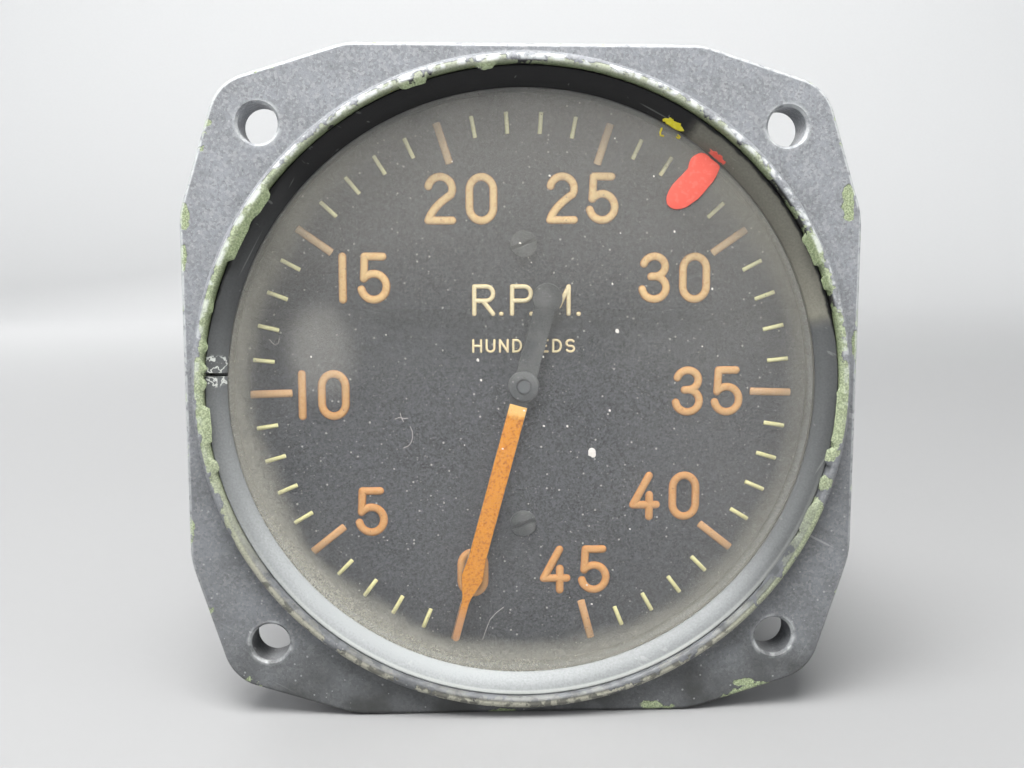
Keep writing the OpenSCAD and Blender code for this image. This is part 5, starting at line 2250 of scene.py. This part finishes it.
    def dress(self) -> None:
        """Paints the cover and gives the rest its metal."""
        steel = Metal("screw_steel", (0.5, 0.5, 0.49), (0.27, 0.25, 0.22), 0.4)
        self.put("cover", COVER_PAINT, "case_paint", "rear_cover")
        self.put("cover_screws", steel, "steel", "rear_cover_screws")
        self.put("flange", RECEPTACLE_METAL, "shell_metal", "receptacle_shell")
        self.put("shell", RECEPTACLE_METAL, "shell_metal", "receptacle_shell")
        self.put("shell_screws", steel, "steel", "receptacle_screws")


class Carried:
    """CAD nodes that keep their own shape and get a finish."""

    def finishes(self) -> dict[str, Finish]:
        """Gives the finish of each of the record's slots.

        Returns:
            Finishes by slot.
        """
        metals = (
            ("copper", "copper_bare", (0.75, 0.36, 0.22), (0.36, 0.17, 0.11), 0.3, 3.0),
            ("contact_metal", "contact_plated", (0.78, 0.66, 0.38), (0.5, 0.4, 0.22), 0.3, 3.0),
            ("plate_alloy", "plate_alloy_turned",
             (0.62, 0.61, 0.57), (0.45, 0.43, 0.38), 0.38, 2.0),
            ("core_iron", "core_laminated", (0.3, 0.3, 0.31), (0.16, 0.13, 0.11), 0.5, 2.0, 0.7),
            ("magnet_alloy", "magnet_cast", (0.26, 0.26, 0.27), (0.17, 0.16, 0.16), 0.55, 1.0, 0.6),
            ("brass", "brass_turned", (0.74, 0.55, 0.24), (0.48, 0.33, 0.14), 0.32, 5.0),
            ("steel", "steel_bright", (0.58, 0.58, 0.58), (0.4, 0.39, 0.37), 0.28, 5.0),
        )
        mouldings = (
            ("rubber", "rubber_black", shade(44, 44, 45), shade(62, 61, 60), 0.75),
            ("copper_wire", "wire_varnished",
             (0.36, 0.11, 0.04), (0.22, 0.06, 0.025), 0.35, 1.6, 0.3),
            ("lead_sleeve", "sleeve_cloth",
             (0.3, 0.06, 0.035), (0.2, 0.035, 0.025), 0.8, 6.0, 0.12),
            ("insulator", "insulator_brown", shade(72, 56, 44), shade(48, 38, 31), 0.42, 2.5, 0.02),
        )
        return {
            "clear_glass": ClearGlass(),
            "dial_black": DialPaint(),
            "hub_black": HUB_BLACK,
            "case_paint": COVER_PAINT,
            "ring_enamel": RingEnamel(),
            "dial_screw": DIAL_SCREW_BLACK,
            "pointer_orange": POINTER_BLACK,
            "shell_metal": RECEPTACLE_METAL,
            **{slot: Metal(*values) for slot, *values in metals},
            **{slot: Moulding(*values) for slot, *values in mouldings},
        }

    def dress(self) -> None:
        """Puts a finish on every CAD node by its slot in the record."""
        finishes = self.finishes()
        steel = Metal("staff_steel_dull", (0.19, 0.195, 0.205), (0.11, 0.11, 0.115), 0.45)
        slots = {part["node"]: part["material_slot"] for part in frame["record"]["subparts"]}
        for name, node in frame["nodes"].items():
            finish = steel if name == "pointer_staff" else finishes[slots[name]]
            node.data.materials.clear()
            node.data.materials.append(finish.material())
            LOG.info("%s keeps its shape, %s", name, finish.name)


@dataclass(frozen=True)
class Lamp:
    """A soft rectangular light: places in millimetres, size in metres, power in watts."""

    name: str
    place: Point
    size: Flat
    power: float
    tint: Colour = (1, 1, 1)
    aim: Point = (0.0, 20.0, 0.0)

    def hang(self) -> None:
        """Hangs the light where it points at its aim."""
        data = bpy.data.lights.new(self.name, "AREA")
        data.shape = "RECTANGLE"
        data.size, data.size_y = self.size
        data.energy, data.color = self.power, self.tint
        light = bpy.data.objects.new(self.name, data)
        light.location = Vector(self.place) * MM
        way = (Vector(self.aim) - Vector(self.place)) * MM
        light.rotation_euler = way.to_track_quat("-Z", "Y").to_euler()
        bpy.context.scene.collection.objects.link(light)


@dataclass
class Studio:
    """Floor, light and camera."""

    eye: Point = (-6.34, -120.67, 13.363)
    aim: Point = (-1.567, 0.0, 0.62)
    lens: float = 35.156
    rest_from: Flat = (4.8, -40.9)
    rest_to: Flat = (92.034, -38.55)
    reach: float = 16000.0
    sweep_start: float = 700.0
    sweep_radius: float = 500.0
    sweep_top: float = 2200.0
    lamps: tuple[Lamp, ...] = (
        Lamp("top_light", (-90, -240, 560), (0.45, 0.32), 9.5, (1, 0.99, 0.97)),
        Lamp("left_light", (-650, -420, 330), (0.6, 0.6), 3.4, (0.97, 0.98, 1)),
        Lamp("right_light", (700, -380, 260), (0.5, 0.6), 2.4, (1, 0.99, 0.98)),
        Lamp("rear_light", (-300, 620, 420), (0.6, 0.5), 2.6),
        Lamp("backdrop_light", (0, 520, 900), (1.6, 0.4), 5.0, aim=(0, 1250, 250)),
        Lamp("front_floor_light", (0, -480, 800), (2.4, 0.5), 12.0, aim=(0, -3000, 0)),
    )

    def floor(self) -> None:
        """Makes the pale floor that the case rests on, swept up far behind."""
        tilt = math.atan2(self.rest_to[1] - self.rest_from[1], self.rest_to[0] - self.rest_from[0])
        run = [(y, 0.0) for y in (-self.reach, -300.0, 0.0, 300.0, self.sweep_start)]
        for i in range(1, 17):
            turn = math.pi / 2 * i / 16
            run.append((self.sweep_start + self.sweep_radius * math.sin(turn),
                        self.sweep_radius - self.sweep_radius * math.cos(turn)))
        run.append((self.sweep_start + self.sweep_radius, self.sweep_top))
        points, faces = [], []
        for y, z in run:
            py = self.rest_from[0] + y * math.cos(tilt) - z * math.sin(tilt)
            pz = self.rest_from[1] + y * math.sin(tilt) + z * math.cos(tilt)
            points += [(x * MM, py * MM, pz * MM) for x in (-self.reach, self.reach)]
        for i in range(len(run) - 1):
            faces.append((2 * i, 2 * i + 1, 2 * i + 3, 2 * i + 2))
        mesh = bpy.data.meshes.new("studio_floor")
        mesh.from_pydata(points, [], faces)
        mesh.shade_smooth()
        mesh.materials.append(StudioFloor().material())
        floor = bpy.data.objects.new("studio_floor", mesh)
        bpy.context.scene.collection.objects.link(floor)

    def camera(self) -> None:
        """Sets the camera at the photograph's viewing angle."""
        data = bpy.data.cameras.new("photo_camera")
        data.lens, data.sensor_width, data.sensor_fit = self.lens, 36, "HORIZONTAL"
        data.clip_start, data.clip_end = 0.005, 20
        camera = bpy.data.objects.new("photo_camera", data)
        way = (Vector(self.aim) - Vector(self.eye)).normalized()
        right = way.cross(Vector((0, 0, 1))).normalized()
        turn = Matrix((right, right.cross(way), -way)).transposed().to_4x4()
        camera.matrix_world = Matrix.Translation(Vector(self.eye) * MM) @ turn
        bpy.context.scene.collection.objects.link(camera)
        bpy.context.scene.camera = camera

    def build(self) -> None:
        """Sets up floor, light, world and camera."""
        self.camera()
        self.floor()
        for lamp in self.lamps:
            lamp.hang()
        scene = bpy.context.scene
        scene.world = bpy.data.worlds.new("soft_room")
        scene.world.use_nodes = True
        sky = scene.world.node_tree.nodes["Background"]
        g = Graph(scene.world.node_tree)
        way = g.add("ShaderNodeSeparateXYZ")
        g.feed(way.inputs[0], g.out(g.add("ShaderNodeTexCoord"), "Generated"))
        rising = g.step(g.out(way, 2), 0.0, 0.5)
        g.feed(sky.inputs[0], g.mix(rising, (0.8, 0.83, 0.87), (0.96, 0.99, 1.0)))
        seen = g.out(g.add("ShaderNodeLightPath"), "Is Camera Ray")
        g.feed(sky.inputs[1], 0.42 + seen * 0.4)
        scene.view_settings.view_transform = "Standard"


def main() -> None:
    """Builds every sub-assembly in order."""
    logging.basicConfig(level=logging.INFO, format="%(message)s")
    Studio().build()
    Carried().dress()
    for assembly in (Case(), Window(), DialFace(), Pointer(), Rear()):
        assembly.build()
        assembly.dress()


if __name__ == "__main__":
    main()
